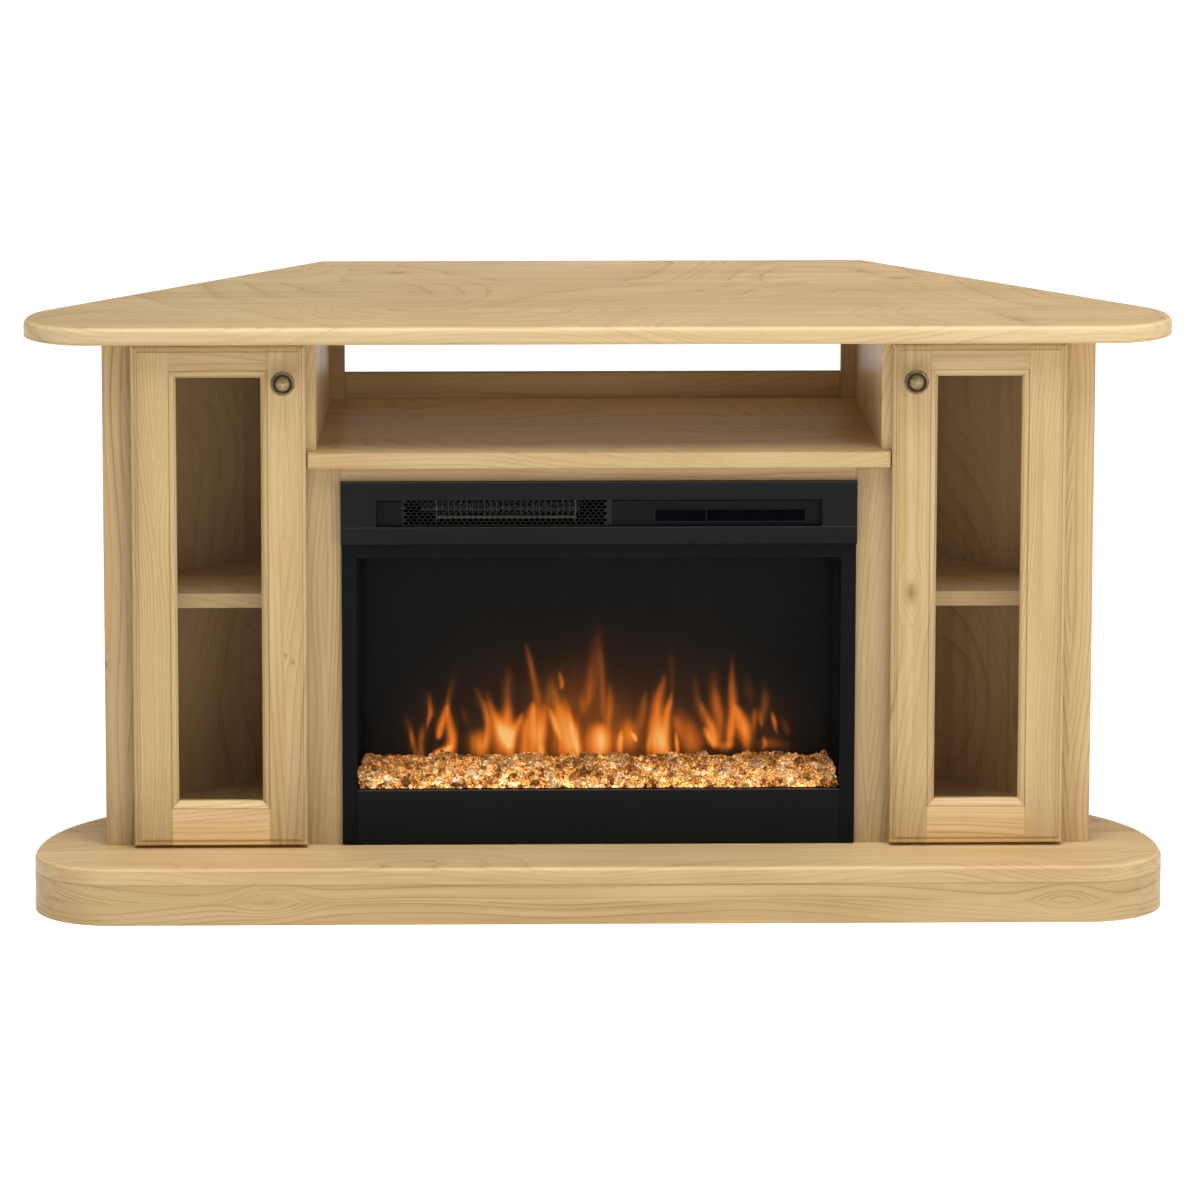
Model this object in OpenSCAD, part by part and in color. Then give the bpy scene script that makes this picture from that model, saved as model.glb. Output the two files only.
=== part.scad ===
// Corner media console in solid maple with a plug-in electric firebox.
// Front faces -Y, +X is to the right, +Z is up. The origin is on the floor,
// under the middle of the whole outline. Lengths are millimetres.

/* [Top board] */
// How far the top stands out past each end of the cabinet
top_side_out = 101; // [92:0.5:112]
// How far the top stands out behind the back panel
top_back_out = 66; // [52:1:90]
// How far the top stands out in front of the cabinet face
top_overhang = 42; // [30:1:60]
// Thickness of the top
top_t = 22; // [18:1:30]
// Radius of the round front corners of the top, seen from above
top_corner_r = 82; // [70:1:100]
// Radius of the rounded upper edge of the top
top_edge_r = 8.5; // [4:0.5:10]

/* [Base] */
// How far the base stands out past each end of the cabinet
base_side_out = 91.2; // [84:0.2:102]
// How far the base stands out behind the back panel
base_back_out = 53; // [24:1:62]
// How far the base stands out in front of the cabinet face
base_overhang = 130; // [110:2:150]
// Radius of the front corners of the base
base_front_r = 100; // [90:1:110]
// Radius of the long curve from the base's widest point to its slanted side
base_side_r = 255; // [230:1:270]
// Height of the rails under the base board
plinth_h = 53; // [40:1:80]
// Thickness of the rails under the base board
plinth_rail_t = 20; // [16:1:26]
// Thickness of the base board
base_board_t = 21.5; // [18:0.5:26]
// Radius of the base board's upper edge
base_edge_r = 8; // [3:0.5:9]

/* [Cabinet] */
// Width of the cabinet across its front
body_w = 1274.8; // [1260:0.4:1290]
// Depth of the cabinet to the front of its back panel
body_depth = 368; // [362:1:376]
// How far the back panel stands out past each divider
back_corner = 28.2; // [26:0.2:34]
// Thickness of the straight end panels and cabinet floors
panel_t = 19; // [16:1:20]
// Thickness of the slanted side panels
angled_t = 16; // [12:1:18]
// Thickness of the face pieces at the front
face_t = 20; // [18:1:24]
// Width of the outer face stiles
face_stile_w = 49.4; // [46:0.2:52]
// Thickness of the dividers between cabinets and middle
divider_t = 19; // [16:1:20]
// Thickness of the back panel
back_t = 9; // [6:1:12]
// Height of the cabinet shelves over the base board
cabinet_shelf_up = 320.2; // [240:0.1:400]
// Thickness of the cabinet shelves
cabinet_shelf_t = 19; // [15:1:22]
// Where the cabinet shelves start, as a share of the end panels' depth
shelf_start_share = 0.381; // [0.25:0.001:0.6]
// Diameter of the shelf pins
shelf_pin_d = 5; // [4:1:6]

/* [Media bay] */
// How far the bay stands out past each side of the firebox trim
bay_side_out = 31.9; // [28:0.1:36]
// How far each divider leans in over the depth of the bay
bay_taper = 15.4; // [8:0.1:18]
// Height of the bay between its shelf and the top
bay_h = 146.7; // [130:0.1:170]
// Depth of the corner posts, which stand between the bay and the back panel
post_depth = 18; // [16:1:22]
// Height of the rail that shows between firebox and bay shelf
top_rail_show = 19.1; // [12:0.1:26]
// Thickness of the bay shelf
shelf_t = 20; // [18:1:22]
// How far the bay shelf's front edge laps over each divider
nosing_lap = 11.9; // [8:0.1:14]
// How far the bay shelf stands out in front of the face
nosing_out = 14; // [8:1:16]
// Height of the back panel's middle edge over the bay shelf
sill_h = 32; // [20:1:60]
// Width of the corner posts at the back of the bay
post_w = 19.5; // [16:0.5:26]

/* [Doors] */
// Gap between a door's inner edge and the end of the bay shelf's front edge
door_side_gap = 1; // [0.6:0.1:2]
// Visible face stile outside the door
door_reveal = 37; // [36:0.2:38]
// Thickness of a door
door_t = 19; // [18:0.5:20]
// Gap between the door's back and the cabinet face
door_gap = 3; // [2.6:0.1:3.4]
// Gap under a door
door_bottom_gap = 3.6; // [2.6:0.2:6]
// Gap over a door
door_top_gap = 4; // [2:0.5:6]
// Width of a door's stiles, moulding included
door_stile_w = 58; // [54:1:62]
// Height of a door's bottom rail, moulding included
bottom_rail_h = 59; // [50:0.5:70]
// Height of a door's top rail, moulding included
top_rail_h = 43; // [40:0.5:52]
// Width of the moulding round the glass
sticking_w = 9; // [7:0.5:11]
// Width of the moulding round the door's outer edge
edge_w = 8.5; // [5:0.5:10]
// Thickness of the door glass
door_glass_t = 4; // [3:0.5:5]
// Width of the ledge that the glass lies on
rebate_w = 7; // [5:0.5:8]
// Diameter of a knob
knob_d = 31; // [28:1:34]
// How far a knob stands out from its door
knob_reach = 25; // [20:1:30]
// Height of the knob's axis under the door's top edge
knob_drop = 46; // [40:1:60]

/* [Hinges] */
// Diameter of a hinge cup
cup_d = 35; // [34:1:35]
// Gap between the arm's knuckle and the bottom of its cup
cup_gap = 0.5; // [0.3:0.1:0.6]
// Distance of the pivot from the door's outer edge
pivot_in = 6; // [5.5:0.25:6.25]
// Distance of the pivot from the door's back face
pivot_depth = 9; // [8.5:0.25:9.5]
// Distance of each hinge from the door's end
hinge_inset = 100; // [80:5:140]
// Diameter of the hinge pin
hinge_pin_d = 3; // [2.6:0.1:3.2]
// Radial clearance of the arm on its pin
pin_clearance = 0.05; // [0.02:0.01:0.08]
// Thickness of the hinge arm
arm_t = 2; // [1.6:0.1:2.2]
// Height of the hinge arm
arm_h = 12; // [10:1:12]

/* [Firebox] */
// Width of the firebox's lower trim
trim_w = 663; // [661:1:665]
// How far the vent panel stands out past each side of the trim
vent_side_out = 0.8; // [0.4:0.2:4]
// Height of the firebox
firebox_h = 478.7; // [474:0.1:484]
// Depth of the firebox behind the face
firebox_depth = 215; // [200:5:240]
// Sheet thickness of the firebox casing
sheet_t = 2; // [1.2:0.2:2.4]
// How far the lower trim stands out from the face
trim_out = 6; // [4:1:8]
// How far the vent panel stands out from the face
vent_out = 12; // [10:1:16]
// Height of the vent panel
vent_h = 81.7; // [79:0.1:88]
// Width of the trim's side pieces
trim_side_w = 19.5; // [16:0.5:24]
// Height of the strip between vent panel and glass
trim_top_h = 18.4; // [12:0.1:20]
// Height of the trim's bottom panel
trim_bottom_h = 70.7; // [64:0.1:76]
// Height of the ember tray's lip
tray_lip = 5; // [4:0.5:12]
// Thickness of the firebox glass
fire_glass_t = 4; // [3:0.5:5]
// Width of the slot in the vent panel
slot_w = 573.8; // [560:0.2:590]
// Height of the slot in the vent panel
slot_h = 35.4; // [32:0.2:38]
// Height of the slot's lower edge over the vent panel's lower edge
slot_up = 23.2; // [20:0.1:26]
// Width of the perforated mesh in the slot
mesh_w = 270.8; // [250:0.2:290]
// Distance of the mesh's left edge from the slot's left edge
mesh_in = 32.9; // [25:0.1:45]
// Distance between mesh holes along a row
mesh_pitch = 7.2; // [6.6:0.2:9]
// Distance between rows of mesh holes
mesh_row = 4.15; // [3.8:0.05:5]
// Width of the bars between mesh holes
mesh_bar = 1.1; // [0.8:0.1:1.6]
// Radius of the curve round the flicker rotor's blades
rotor_r = 17; // [12:1:22]
// Radius of the flicker rotor's motor
rotor_motor_r = 19; // [14:1:24]
// Number of blade rows along the flicker rotor
rotor_rows = 12; // [8:1:16]
// Radius of the blower wheel
wheel_r = 24; // [20:1:26]
// Length of the blower wheel
wheel_w = 210; // [160:10:240]
// Number of blades round the blower wheel
wheel_blades = 20; // [12:1:24]
// Running clearance of the shafts in their bearings
shaft_clearance = 0.05; // [0.02:0.01:0.08]

/* [Hidden] */

// finishes
maple = "#d8b987";
maple_shade = "#c4a473";
black_steel = "#1d1e1f";
zinc = "#b5b6b2";
brass = "#6f6543";
clear = [0.75, 0.80, 0.80, 0.35];
smoked = [0.20, 0.21, 0.20, 0.55];
amber = "#e0a850";

// smoothness of round shapes
round_fn = 48;
// a small overlap that keeps cuts clean
eps = 0.01;
root2 = sqrt(2);

// the whole outline is centred front to back
top_back = body_depth + back_t + top_back_out;
base_back = body_depth + back_t + base_back_out;
total_depth = base_overhang + top_back;
face_y = base_overhang - total_depth / 2;
top_w = body_w + 2 * top_side_out;
base_w = body_w + 2 * base_side_out;

// heights
base_z = plinth_h + base_board_t;
firebox_gap = 2;
fire_z = base_z + firebox_gap;
fire_top_z = fire_z + firebox_h;
shelf_under_z = fire_top_z + top_rail_show;
shelf_z = shelf_under_z + shelf_t;
top_z = shelf_z + bay_h;
body_h = top_z - base_z;
cabinet_shelf_z = base_z + cabinet_shelf_up;

// cabinet plan, measured from the face plane, on the positive side
body_x = body_w / 2;
bay_front_w = trim_w + 2 * bay_side_out;
bay_depth = body_depth - post_depth;
face_in_x = body_x - face_stile_w;
end_in_x = body_x - panel_t;

// the inner face of a divider and its outer face, at a distance y behind the face
function bay_half(y) = bay_front_w / 2 - bay_taper * y / bay_depth;
function divider_out(y) = bay_half(y) + divider_t;
divider_turn = atan(bay_taper / bay_depth);

// the slanted sides: every point of a face has the same sum x + y
back_half = divider_out(body_depth) + back_corner;
angled_sum = back_half + body_depth;
angled_in_sum = angled_sum - angled_t * root2;
end_depth = angled_sum - body_x;
cabinet_shelf_back = face_t + (end_depth - face_t) * shelf_start_share;

// bay shelf and surround
nosing_w = bay_front_w + 2 * nosing_lap;
surround_in_x = trim_w / 2 - 1.5;
surround_out_x = divider_out(0);

// doors
door_out_x = body_x - door_reveal;
door_in_x = nosing_w / 2 + door_side_gap;
door_w = door_out_x - door_in_x;
door_bottom_z = base_z + door_bottom_gap;
door_h = body_h - door_bottom_gap - door_top_gap;
door_back_y = -door_gap;
door_front_y = -door_gap - door_t;
knob_x = door_in_x + door_stile_w / 2;
knob_z = door_bottom_z + door_h - knob_drop;
pane_clearance = 0.5;

// hinges
pivot_x = door_out_x - pivot_in;
pivot_y = door_back_y - pivot_depth;
cup_edge = 3;
cup_x = door_out_x - cup_edge - cup_d / 2;
cup_wall = 1.2;
knuckle_r = 2.8;
cup_depth = pivot_depth + knuckle_r + cup_gap + cup_wall;
hinge_zs = [door_bottom_z + hinge_inset, door_bottom_z + door_h - hinge_inset];
pocket_out = 4;
pocket_half_h = 9.5;
ear_in = 7.2;
flange_t = 1;
arm_run = 12.5;
arm_pad_y = [4, 18];

// firebox
vent_w = trim_w + 2 * vent_side_out;
vent_z = fire_top_z - vent_h;
slot_z = vent_z + slot_up;
casing_w = surround_in_x * 2 - 5;
casing_h = firebox_h - 3;
glass_z0 = fire_z + trim_bottom_h;
glass_z1 = vent_z - trim_top_h;
glass_lap = 8;
glass_half = trim_w / 2 - trim_side_w + glass_lap;
screen_y = 95;
screen_t = 3;
deck_z = vent_z - 3;
tray_z = glass_z0 - 5;
tray_t = 2;
bed_front_y = fire_glass_t + 3;
rotor_y = 150;
rotor_up = 62;
rotor_z = fire_z + rotor_up;
rotor_shaft_r = 3;
rotor_end_in = 30;
rotor_end_x = casing_w / 2 - rotor_end_in;
wheel_y = 130;
wheel_z = (deck_z + base_z + casing_h) / 2;
wheel_shaft_r = 3;
housing_r = wheel_r + 3;
mesh_t = 1.2;
plate_t = 2;

// ---------------------------------------------------------------- helpers

// moves a shape from the face plane's frame to the object's frame
module at_face() {
    translate([0, face_y, 0]) children();
}

// draws a shape of the positive side on the left (-1) or the right (1)
module side(s) {
    at_face() mirror([s < 0 ? 1 : 0, 0, 0]) children();
}

module both() {
    for (s = [-1, 1]) side(s) children();
}

// a closed outline from its positive half
function both_halves(half) =
    concat(half, [for (i = [len(half) - 1:-1:0]) [-half[i][0], half[i][1]]]);

// the plan's arc centres and the 45 degree side that follows each: [x, y]
top_centre = [top_w / 2 - top_corner_r, top_corner_r - top_overhang];
base_front_centre = [base_w / 2 - base_front_r, base_front_r - base_overhang];
base_side_centre = [base_w / 2 - base_side_r, base_front_r - base_overhang];

// points along an arc, from angle a0 to a1
function arc_points(c, r, a0, a1, n) =
    [for (i = [0:n]) let (a = a0 + (a1 - a0) * i / n) [c[0] + r * cos(a), c[1] + r * sin(a)]];

// a whole outline from its right half, drawn in by d
function top_plan(d) =
    let (c = top_centre, r = top_corner_r - d, sum = c[0] + c[1] + r * root2)
    both_halves(concat(arc_points(c, r, -90, 45, 27), [[sum - top_back, top_back]]));
function base_plan(d) =
    let (c = base_front_centre, e = base_side_centre, r = base_front_r - d,
        q = base_side_r - d, sum = e[0] + e[1] + q * root2)
    both_halves(concat(arc_points(c, r, -90, 0, 18),
        [for (i = [1:9]) arc_points(e, q, 0, 45, 9)[i]], [[sum - base_back, base_back]]));

// a closed shape through rings of points, one ring for each height in zs
module loft(rings, zs) {
    n = len(rings[0]);
    m = len(rings);
    points = [for (k = [0:m - 1]) for (p = rings[k]) [p[0], p[1], zs[k]]];
    sides = [for (k = [0:m - 2]) for (i = [0:n - 1])
        let (j = (i + 1) % n, a = k * n, b = a + n)
        each [[a + i, b + i, b + j], [a + i, b + j, a + j]]];
    lower = [for (i = [0:n - 1]) i];
    upper = [for (i = [n - 1:-1:0]) (m - 1) * n + i];
    polyhedron(points, concat(sides, [lower, upper]));
}

// how far a round edge of radius r is drawn in, and how high it stands, at each step
edge_angles = [for (i = [0:5]) 18 * i];
function edge_in(r) = [for (a = edge_angles) r * (1 - cos(a))];
function edge_heights(t, r) = [for (a = edge_angles) t - r + r * sin(a)];

// the front of an outline, between its corner centres
module front_run(centre) {
    translate(centre) rotate([0, 0, -90]) rotate([90, 0, 0])
        linear_extrude(2 * centre[0]) children();
}

// a round corner from angle a0 to a1
module corner_run(centre, a0, a1) {
    translate(centre) rotate([0, 0, a0])
        rotate_extrude(angle = a1 - a0, $fn = 2 * round_fn) children();
}

// a slanted side from its corner to the back
module side_run(centre, back) {
    run = (back - centre[1]) * root2;
    intersection() {
        translate(centre) rotate([0, 0, 45]) translate([0, run, 0]) rotate([90, 0, 0])
            linear_extrude(run) children();
        translate([0, centre[1] - base_w, -1])
            cube([base_w, back - centre[1] + base_w, plinth_h + 2]);
    }
}

module on_both_sides() {
    children();
    mirror([1, 0, 0]) children();
}

// an upright panel from its plan outline
module panel(points, z0, z1) {
    translate([0, 0, z0]) linear_extrude(z1 - z0) polygon(points);
}

module block(x0, x1, y0, y1, z0, z1) {
    translate([x0, y0, z0]) cube([x1 - x0, y1 - y0, z1 - z0]);
}

// a cylinder from x0 to x1 along X
module rod_x(x0, x1, y, z, r) {
    translate([x0, y, z]) rotate([0, 90, 0]) cylinder(h = x1 - x0, r = r, $fn = round_fn);
}

// ---------------------------------------------------------------- top and base

module top_board() {
    color(maple) at_face() translate([0, 0, top_z])
        loft(concat([top_plan(0)], [for (d = edge_in(top_edge_r)) top_plan(d)]),
            concat([0], edge_heights(top_t, top_edge_r)));
}

module base_board() {
    color(maple) at_face() translate([0, 0, plinth_h])
        loft(concat([base_plan(0)], [for (d = edge_in(base_edge_r)) base_plan(d)]),
            concat([0], edge_heights(base_board_t, base_edge_r)));
}

// a section through the rail under an edge that lies at the distance reach
module rail_section(reach) {
    translate([reach - plinth_rail_t, 0]) square([plinth_rail_t, plinth_h]);
}

// the front rail goes round both front corners in one piece
module plinth_front() {
    color(maple) at_face() {
        front_run(base_front_centre) rail_section(base_front_r);
        on_both_sides() corner_run(base_front_centre, -90, 0) rail_section(base_front_r);
    }
}

module plinth_side_rails() {
    color(maple) at_face() on_both_sides() {
        corner_run(base_side_centre, 0, 45) rail_section(base_side_r);
        side_run(base_side_centre, base_back - plinth_rail_t) rail_section(base_side_r);
    }
}

module plinth_back_rail() {
    side_sum = base_side_centre[0] + base_side_centre[1] + base_side_r * root2;
    y0 = base_back - plinth_rail_t;
    color(maple_shade) at_face() linear_extrude(plinth_h)
        polygon([[y0 - side_sum, y0], [side_sum - y0, y0], [side_sum - base_back, base_back],
            [base_back - side_sum, base_back]]);
}

// ---------------------------------------------------------------- cabinet

module face_stile() {
    color(maple) block(face_in_x, body_x, 0, face_t, base_z, top_z);
}
module left_face_stile() { side(-1) face_stile(); }
module right_face_stile() { side(1) face_stile(); }

// the shelf pins of one cabinet: two in the divider, one in each outer panel
pin_seat = 9;
pin_out = 8;
pin_z = cabinet_shelf_z - cabinet_shelf_t - shelf_pin_d / 2 - 0.2;
pin_ys = [face_t + (end_depth - face_t) * 2 / 3, body_depth * 0.68];
angled_pin_x = (end_in_x + divider_out(body_depth)) / 2 - panel_t;
module cabinet_pins() {
    r = shelf_pin_d / 2;
    for (y = pin_ys)
        rod_x(divider_out(y) - pin_seat, divider_out(y) + pin_out, y, pin_z, r);
    rod_x(end_in_x - pin_out, end_in_x + pin_seat, pin_ys[0], pin_z, r);
    translate([angled_pin_x, angled_in_sum - angled_pin_x, pin_z])
        rotate([0, 0, 45])
            rod_x(-pin_out, pin_seat, 0, 0, r);
}
module shelf_pins() { color(zinc) both() cabinet_pins(); }

module end_panel() {
    color(maple) difference() {
        panel([[end_in_x, face_t], [body_x, face_t], [body_x, end_depth],
            [end_in_x, angled_in_sum - end_in_x]], base_z, top_z);
        cabinet_pins();
    }
}
module left_end_panel() { side(-1) end_panel(); }
module right_end_panel() { side(1) end_panel(); }

module angled_panel() {
    color(maple) difference() {
        panel([[body_x, end_depth], [angled_sum - body_depth, body_depth],
            [angled_in_sum - body_depth, body_depth],
            [end_in_x, angled_in_sum - end_in_x]], base_z, top_z);
        cabinet_pins();
    }
}
module left_angled_panel() { side(-1) angled_panel(); }
module right_angled_panel() { side(1) angled_panel(); }

// a divider's plan between two distances behind the face
function divider_plan(y0, y1) =
    [[bay_half(y0), y0], [divider_out(y0), y0], [divider_out(y1), y1], [bay_half(y1), y1]];

module divider() {
    color(maple) difference() {
        union() {
            panel(divider_plan(face_t, body_depth), base_z, top_z);
            panel(divider_plan(0, face_t + eps), shelf_z, top_z);
        }
        cabinet_pins();
        // groove that the bay shelf slides into
        panel([[0, 0], [bay_half(0) + shelf_groove, 0],
            [bay_half(bay_depth) + shelf_groove, bay_depth], [0, bay_depth]],
            shelf_under_z, shelf_z);
    }
}
shelf_groove = 6;
module left_divider() { side(-1) divider(); }
module right_divider() { side(1) divider(); }

module cabinet_floor() {
    color(maple)
        panel([[surround_out_x, 0], [face_in_x, 0], [face_in_x, face_t], [end_in_x, face_t],
            [end_in_x, angled_in_sum - end_in_x], [angled_in_sum - body_depth, body_depth],
            [divider_out(body_depth), body_depth], [divider_out(face_t), face_t],
            [surround_out_x, face_t]], base_z, base_z + panel_t);
}
module left_cabinet_floor() { side(-1) cabinet_floor(); }
module right_cabinet_floor() { side(1) cabinet_floor(); }

module cabinet_shelf() {
    c = 1;
    y0 = cabinet_shelf_back;
    x1 = end_in_x - c;
    sum = angled_in_sum - c * root2;
    y1 = body_depth - 2;
    color(maple)
        panel([[divider_out(y0) + c, y0], [x1, y0], [x1, sum - x1], [sum - y1, y1],
            [divider_out(y1) + c, y1]], cabinet_shelf_z - cabinet_shelf_t, cabinet_shelf_z);
}
module left_cabinet_shelf() { side(-1) cabinet_shelf(); }
module right_cabinet_shelf() { side(1) cabinet_shelf(); }

module back_panel() {
    opening_half = bay_half(bay_depth) - post_w;
    cable_z = base_z + cable_up;
    color(maple_shade) at_face() difference() {
        block(-(angled_sum - body_depth), angled_sum - body_depth,
            body_depth, body_depth + back_t, base_z, top_z);
        block(-opening_half, opening_half, body_depth - 1, body_depth + back_t + 1,
            shelf_z + sill_h, top_z + 1);
        translate([0, body_depth - 1, cable_z])
            rotate([-90, 0, 0])
                cylinder(h = back_t + 2, r = cable_hole_r, $fn = round_fn);
    }
}
cable_hole_r = 25;
cable_up = 60;

// ---------------------------------------------------------------- media bay

module media_shelf() {
    g = shelf_groove;
    ease = 2;
    color(maple) at_face() translate([0, 0, shelf_under_z]) {
        linear_extrude(shelf_t)
            polygon(both_halves([[bay_half(0) + g, 0],
                [bay_half(bay_depth) + g, bay_depth]]));
        // front edge with eased ends that stands out over the dividers
        linear_extrude(shelf_t)
            polygon(both_halves([[nosing_w / 2 - ease, -nosing_out],
                [nosing_w / 2, -nosing_out + ease], [nosing_w / 2, 0]]));
    }
}

module corner_posts() {
    color(maple) both()
        panel([[bay_half(bay_depth) - post_w, bay_depth], [bay_half(bay_depth), bay_depth],
            [bay_half(body_depth), body_depth], [bay_half(bay_depth) - post_w, body_depth]],
            base_z, top_z);
}

module surround_stile() {
    color(maple) block(surround_in_x, surround_out_x, 0, face_t, base_z, shelf_under_z);
}
module surround_left_stile() { side(-1) surround_stile(); }
module surround_right_stile() { side(1) surround_stile(); }

module surround_top_rail() {
    color(maple) at_face()
        block(-surround_in_x, surround_in_x, 0, face_t, fire_top_z - 3, shelf_under_z);
}

// steel angles that hold the top to the dividers and end panels
module angle_bracket() {
    leg = 24;
    wide = 16;
    t = 1.6;
    difference() {
        union() {
            block(0, t, -wide / 2, wide / 2, -leg, 0);
            block(0, leg, -wide / 2, wide / 2, -t, 0);
        }
        rod_x(-1, t + 1, 0, -leg * 0.6, 2.2);
        translate([leg * 0.6, 0, -t - 1]) cylinder(h = t + 2, r = 2.2, $fn = round_fn);
    }
}
bracket_ys = [end_depth * 0.6, body_depth * 0.78];
module top_brackets() {
    color(zinc) both() {
        for (y = bracket_ys)
            translate([divider_out(y), y, top_z]) rotate([0, 0, divider_turn]) angle_bracket();
        translate([end_in_x, bracket_ys[0], top_z]) rotate([0, 0, 180]) angle_bracket();
    }
}

// ---------------------------------------------------------------- doors

quirk = 1;
edge_drop = 6;
stick_drop = 7;
door_back_reach = 1;

// where the parts of a door lie: [left or lower, right or upper]
door_xs = [door_in_x, door_out_x];
door_zs = [door_bottom_z, door_bottom_z + door_h];
pane_xs = [door_in_x + door_stile_w, door_out_x - door_stile_w];
pane_zs = [door_bottom_z + bottom_rail_h, door_bottom_z + door_h - top_rail_h];

// the outer edge's moulding: [distance from the edge, distance behind the front]
edge_curve = concat([for (i = [0:5]) let (a = 90 * i / 5)
    [edge_w * (1 - cos(a)), edge_drop - (edge_drop - quirk) * sin(a)]], [[edge_w, 0]]);

// the inner moulding: [distance outside the pane, distance behind the front]
stick_curve = concat([[0, stick_drop]], [for (i = [1:5]) let (a = 90 * i / 5)
    [sticking_w * (1 - cos(a)), stick_drop - (stick_drop - quirk) * sin(a)]],
    [[sticking_w, -1]]);

// a section from back to front whose two ends follow a curve; out is 1 or -1
function moulded_section(ends, curve, out, back) =
    let (n = len(curve))
    concat([[ends[0], back]],
        [for (p = curve) [ends[0] - out * p[0], door_front_y + p[1]]],
        [for (i = [n - 1:-1:0]) [ends[1] + out * curve[i][0], door_front_y + curve[i][1]]],
        [[ends[1], back]]);

// a shape with one section seen from above and another seen from the side
module moulded_block(xs, zs, curve, out, back) {
    intersection() {
        translate([0, 0, door_bottom_z - 1]) linear_extrude(door_h + 2)
            polygon(moulded_section(xs, curve, out, back));
        translate([door_in_x - 1, 0, 0]) rotate([90, 0, 90]) linear_extrude(door_w + 2)
            polygon([for (p = moulded_section(zs, curve, out, back)) [p[1], p[0]]]);
    }
}

// the door as one moulded frame, before it is parted into stiles and rails
module door_frame_shape() {
    difference() {
        moulded_block(door_xs, door_zs, edge_curve, -1, door_back_y);
        moulded_block(pane_xs, pane_zs, stick_curve, 1, door_back_y + door_back_reach);
        // ledge for the glass
        pane_block(rebate_w, pane_y, door_back_y + door_back_reach);
        cup_pockets();
        knob_hole();
    }
}

// an upright prism over an outline drawn on the door's face
module door_region(points) {
    translate([0, door_back_y + 2, 0]) rotate([90, 0, 0]) linear_extrude(door_t + 4)
        polygon(points);
}

// the part of the frame that belongs to the stile at x = edge; dir points to the glass
module stile_region(edge, dir) {
    inner = edge + dir * door_stile_w;
    line = inner - dir * sticking_w;
    door_region([[edge - dir, door_zs[0] - 1], [line, door_zs[0] - 1],
        [line, pane_zs[0] - sticking_w], [inner, pane_zs[0]], [inner, pane_zs[1]],
        [line, pane_zs[1] + sticking_w], [line, door_zs[1] + 1], [edge - dir, door_zs[1] + 1]]);
}

// the part that belongs to the rail at z = edge; dir points to the glass
module rail_region(edge, pane, dir) {
    line = pane - dir * sticking_w;
    door_region([[pane_xs[0] - sticking_w, edge - dir], [pane_xs[0] - sticking_w, line],
        [pane_xs[0], pane], [pane_xs[1], pane], [pane_xs[1] + sticking_w, line],
        [pane_xs[1] + sticking_w, edge - dir]]);
}

module door_hinge_stile() {
    color(maple) intersection() {
        door_frame_shape();
        stile_region(door_out_x, -1);
    }
}
module door_knob_stile() {
    color(maple) intersection() {
        door_frame_shape();
        stile_region(door_in_x, 1);
    }
}
module door_top_rail() {
    color(maple) intersection() {
        door_frame_shape();
        rail_region(door_zs[1], pane_zs[1], -1);
    }
}
module door_bottom_rail() {
    color(maple) intersection() {
        door_frame_shape();
        rail_region(door_zs[0], pane_zs[0], 1);
    }
}

// glass and beads lie in the ledge behind the moulding
pane_y = door_front_y + stick_drop + 3;
module pane_block(d, y0, y1) {
    block(door_in_x + door_stile_w - d, door_out_x - door_stile_w + d, y0, y1,
        door_bottom_z + bottom_rail_h - d, door_bottom_z + door_h - top_rail_h + d);
}
module door_glass() {
    color(clear) pane_block(rebate_w - pane_clearance, pane_y, pane_y + door_glass_t);
}
bead_w = 6;
module glazing_beads() {
    color(maple_shade) difference() {
        pane_block(rebate_w, pane_y + door_glass_t, door_back_y);
        pane_block(rebate_w - bead_w, pane_y + door_glass_t - 1, door_back_y + 1);
    }
}

// ---------------------------------------------------------------- knobs

knob_screw_r = 2;
knob_screw_in = 14;
module knob_hole() {
    translate([knob_x, door_front_y - 1, knob_z])
        rotate([-90, 0, 0])
            cylinder(h = knob_screw_in + 1, r = knob_screw_r, $fn = round_fn);
}

// a turned knob: foot, neck, raised rim, groove and domed centre
module knob() {
    r = knob_d / 2;
    h = knob_reach;
    dome_r = r * 0.62;
    dome = [for (i = [0:6]) let (a = 15 * i) [dome_r * cos(a), h - 2 + 2 * sin(a)]];
    color(brass) translate([knob_x, door_front_y, knob_z]) rotate([90, 0, 0]) {
        rotate_extrude($fn = round_fn)
            polygon(concat([[0, 0], [r * 0.52, 0], [r * 0.52, 2], [r * 0.34, 4.5],
                [r * 0.34, h * 0.45], [r * 0.6, h * 0.62], [r, h * 0.76], [r, h * 0.86],
                [r * 0.93, h * 0.93], [r * 0.84, h * 0.95], [r * 0.76, h * 0.92],
                [r * 0.70, h - 2.6]], dome));
        translate([0, 0, -knob_screw_in])
            cylinder(h = knob_screw_in + 1, r = knob_screw_r, $fn = round_fn);
    }
}

// ---------------------------------------------------------------- hinges

// the outside of a hinge cup, with the pocket for its knuckle, at height z
module cup_solid(z, grow, depth) {
    translate([cup_x, door_back_y + eps, z]) rotate([90, 0, 0])
        cylinder(h = depth + eps, r = cup_d / 2 + grow, $fn = round_fn);
    block(pivot_x - 10, pivot_x + pocket_out + grow, door_back_y - depth, door_back_y + eps,
        z - pocket_half_h - grow, z + pocket_half_h + grow);
}
module cup_pockets() {
    for (z = hinge_zs) cup_solid(z, 0, cup_depth);
}

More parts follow.
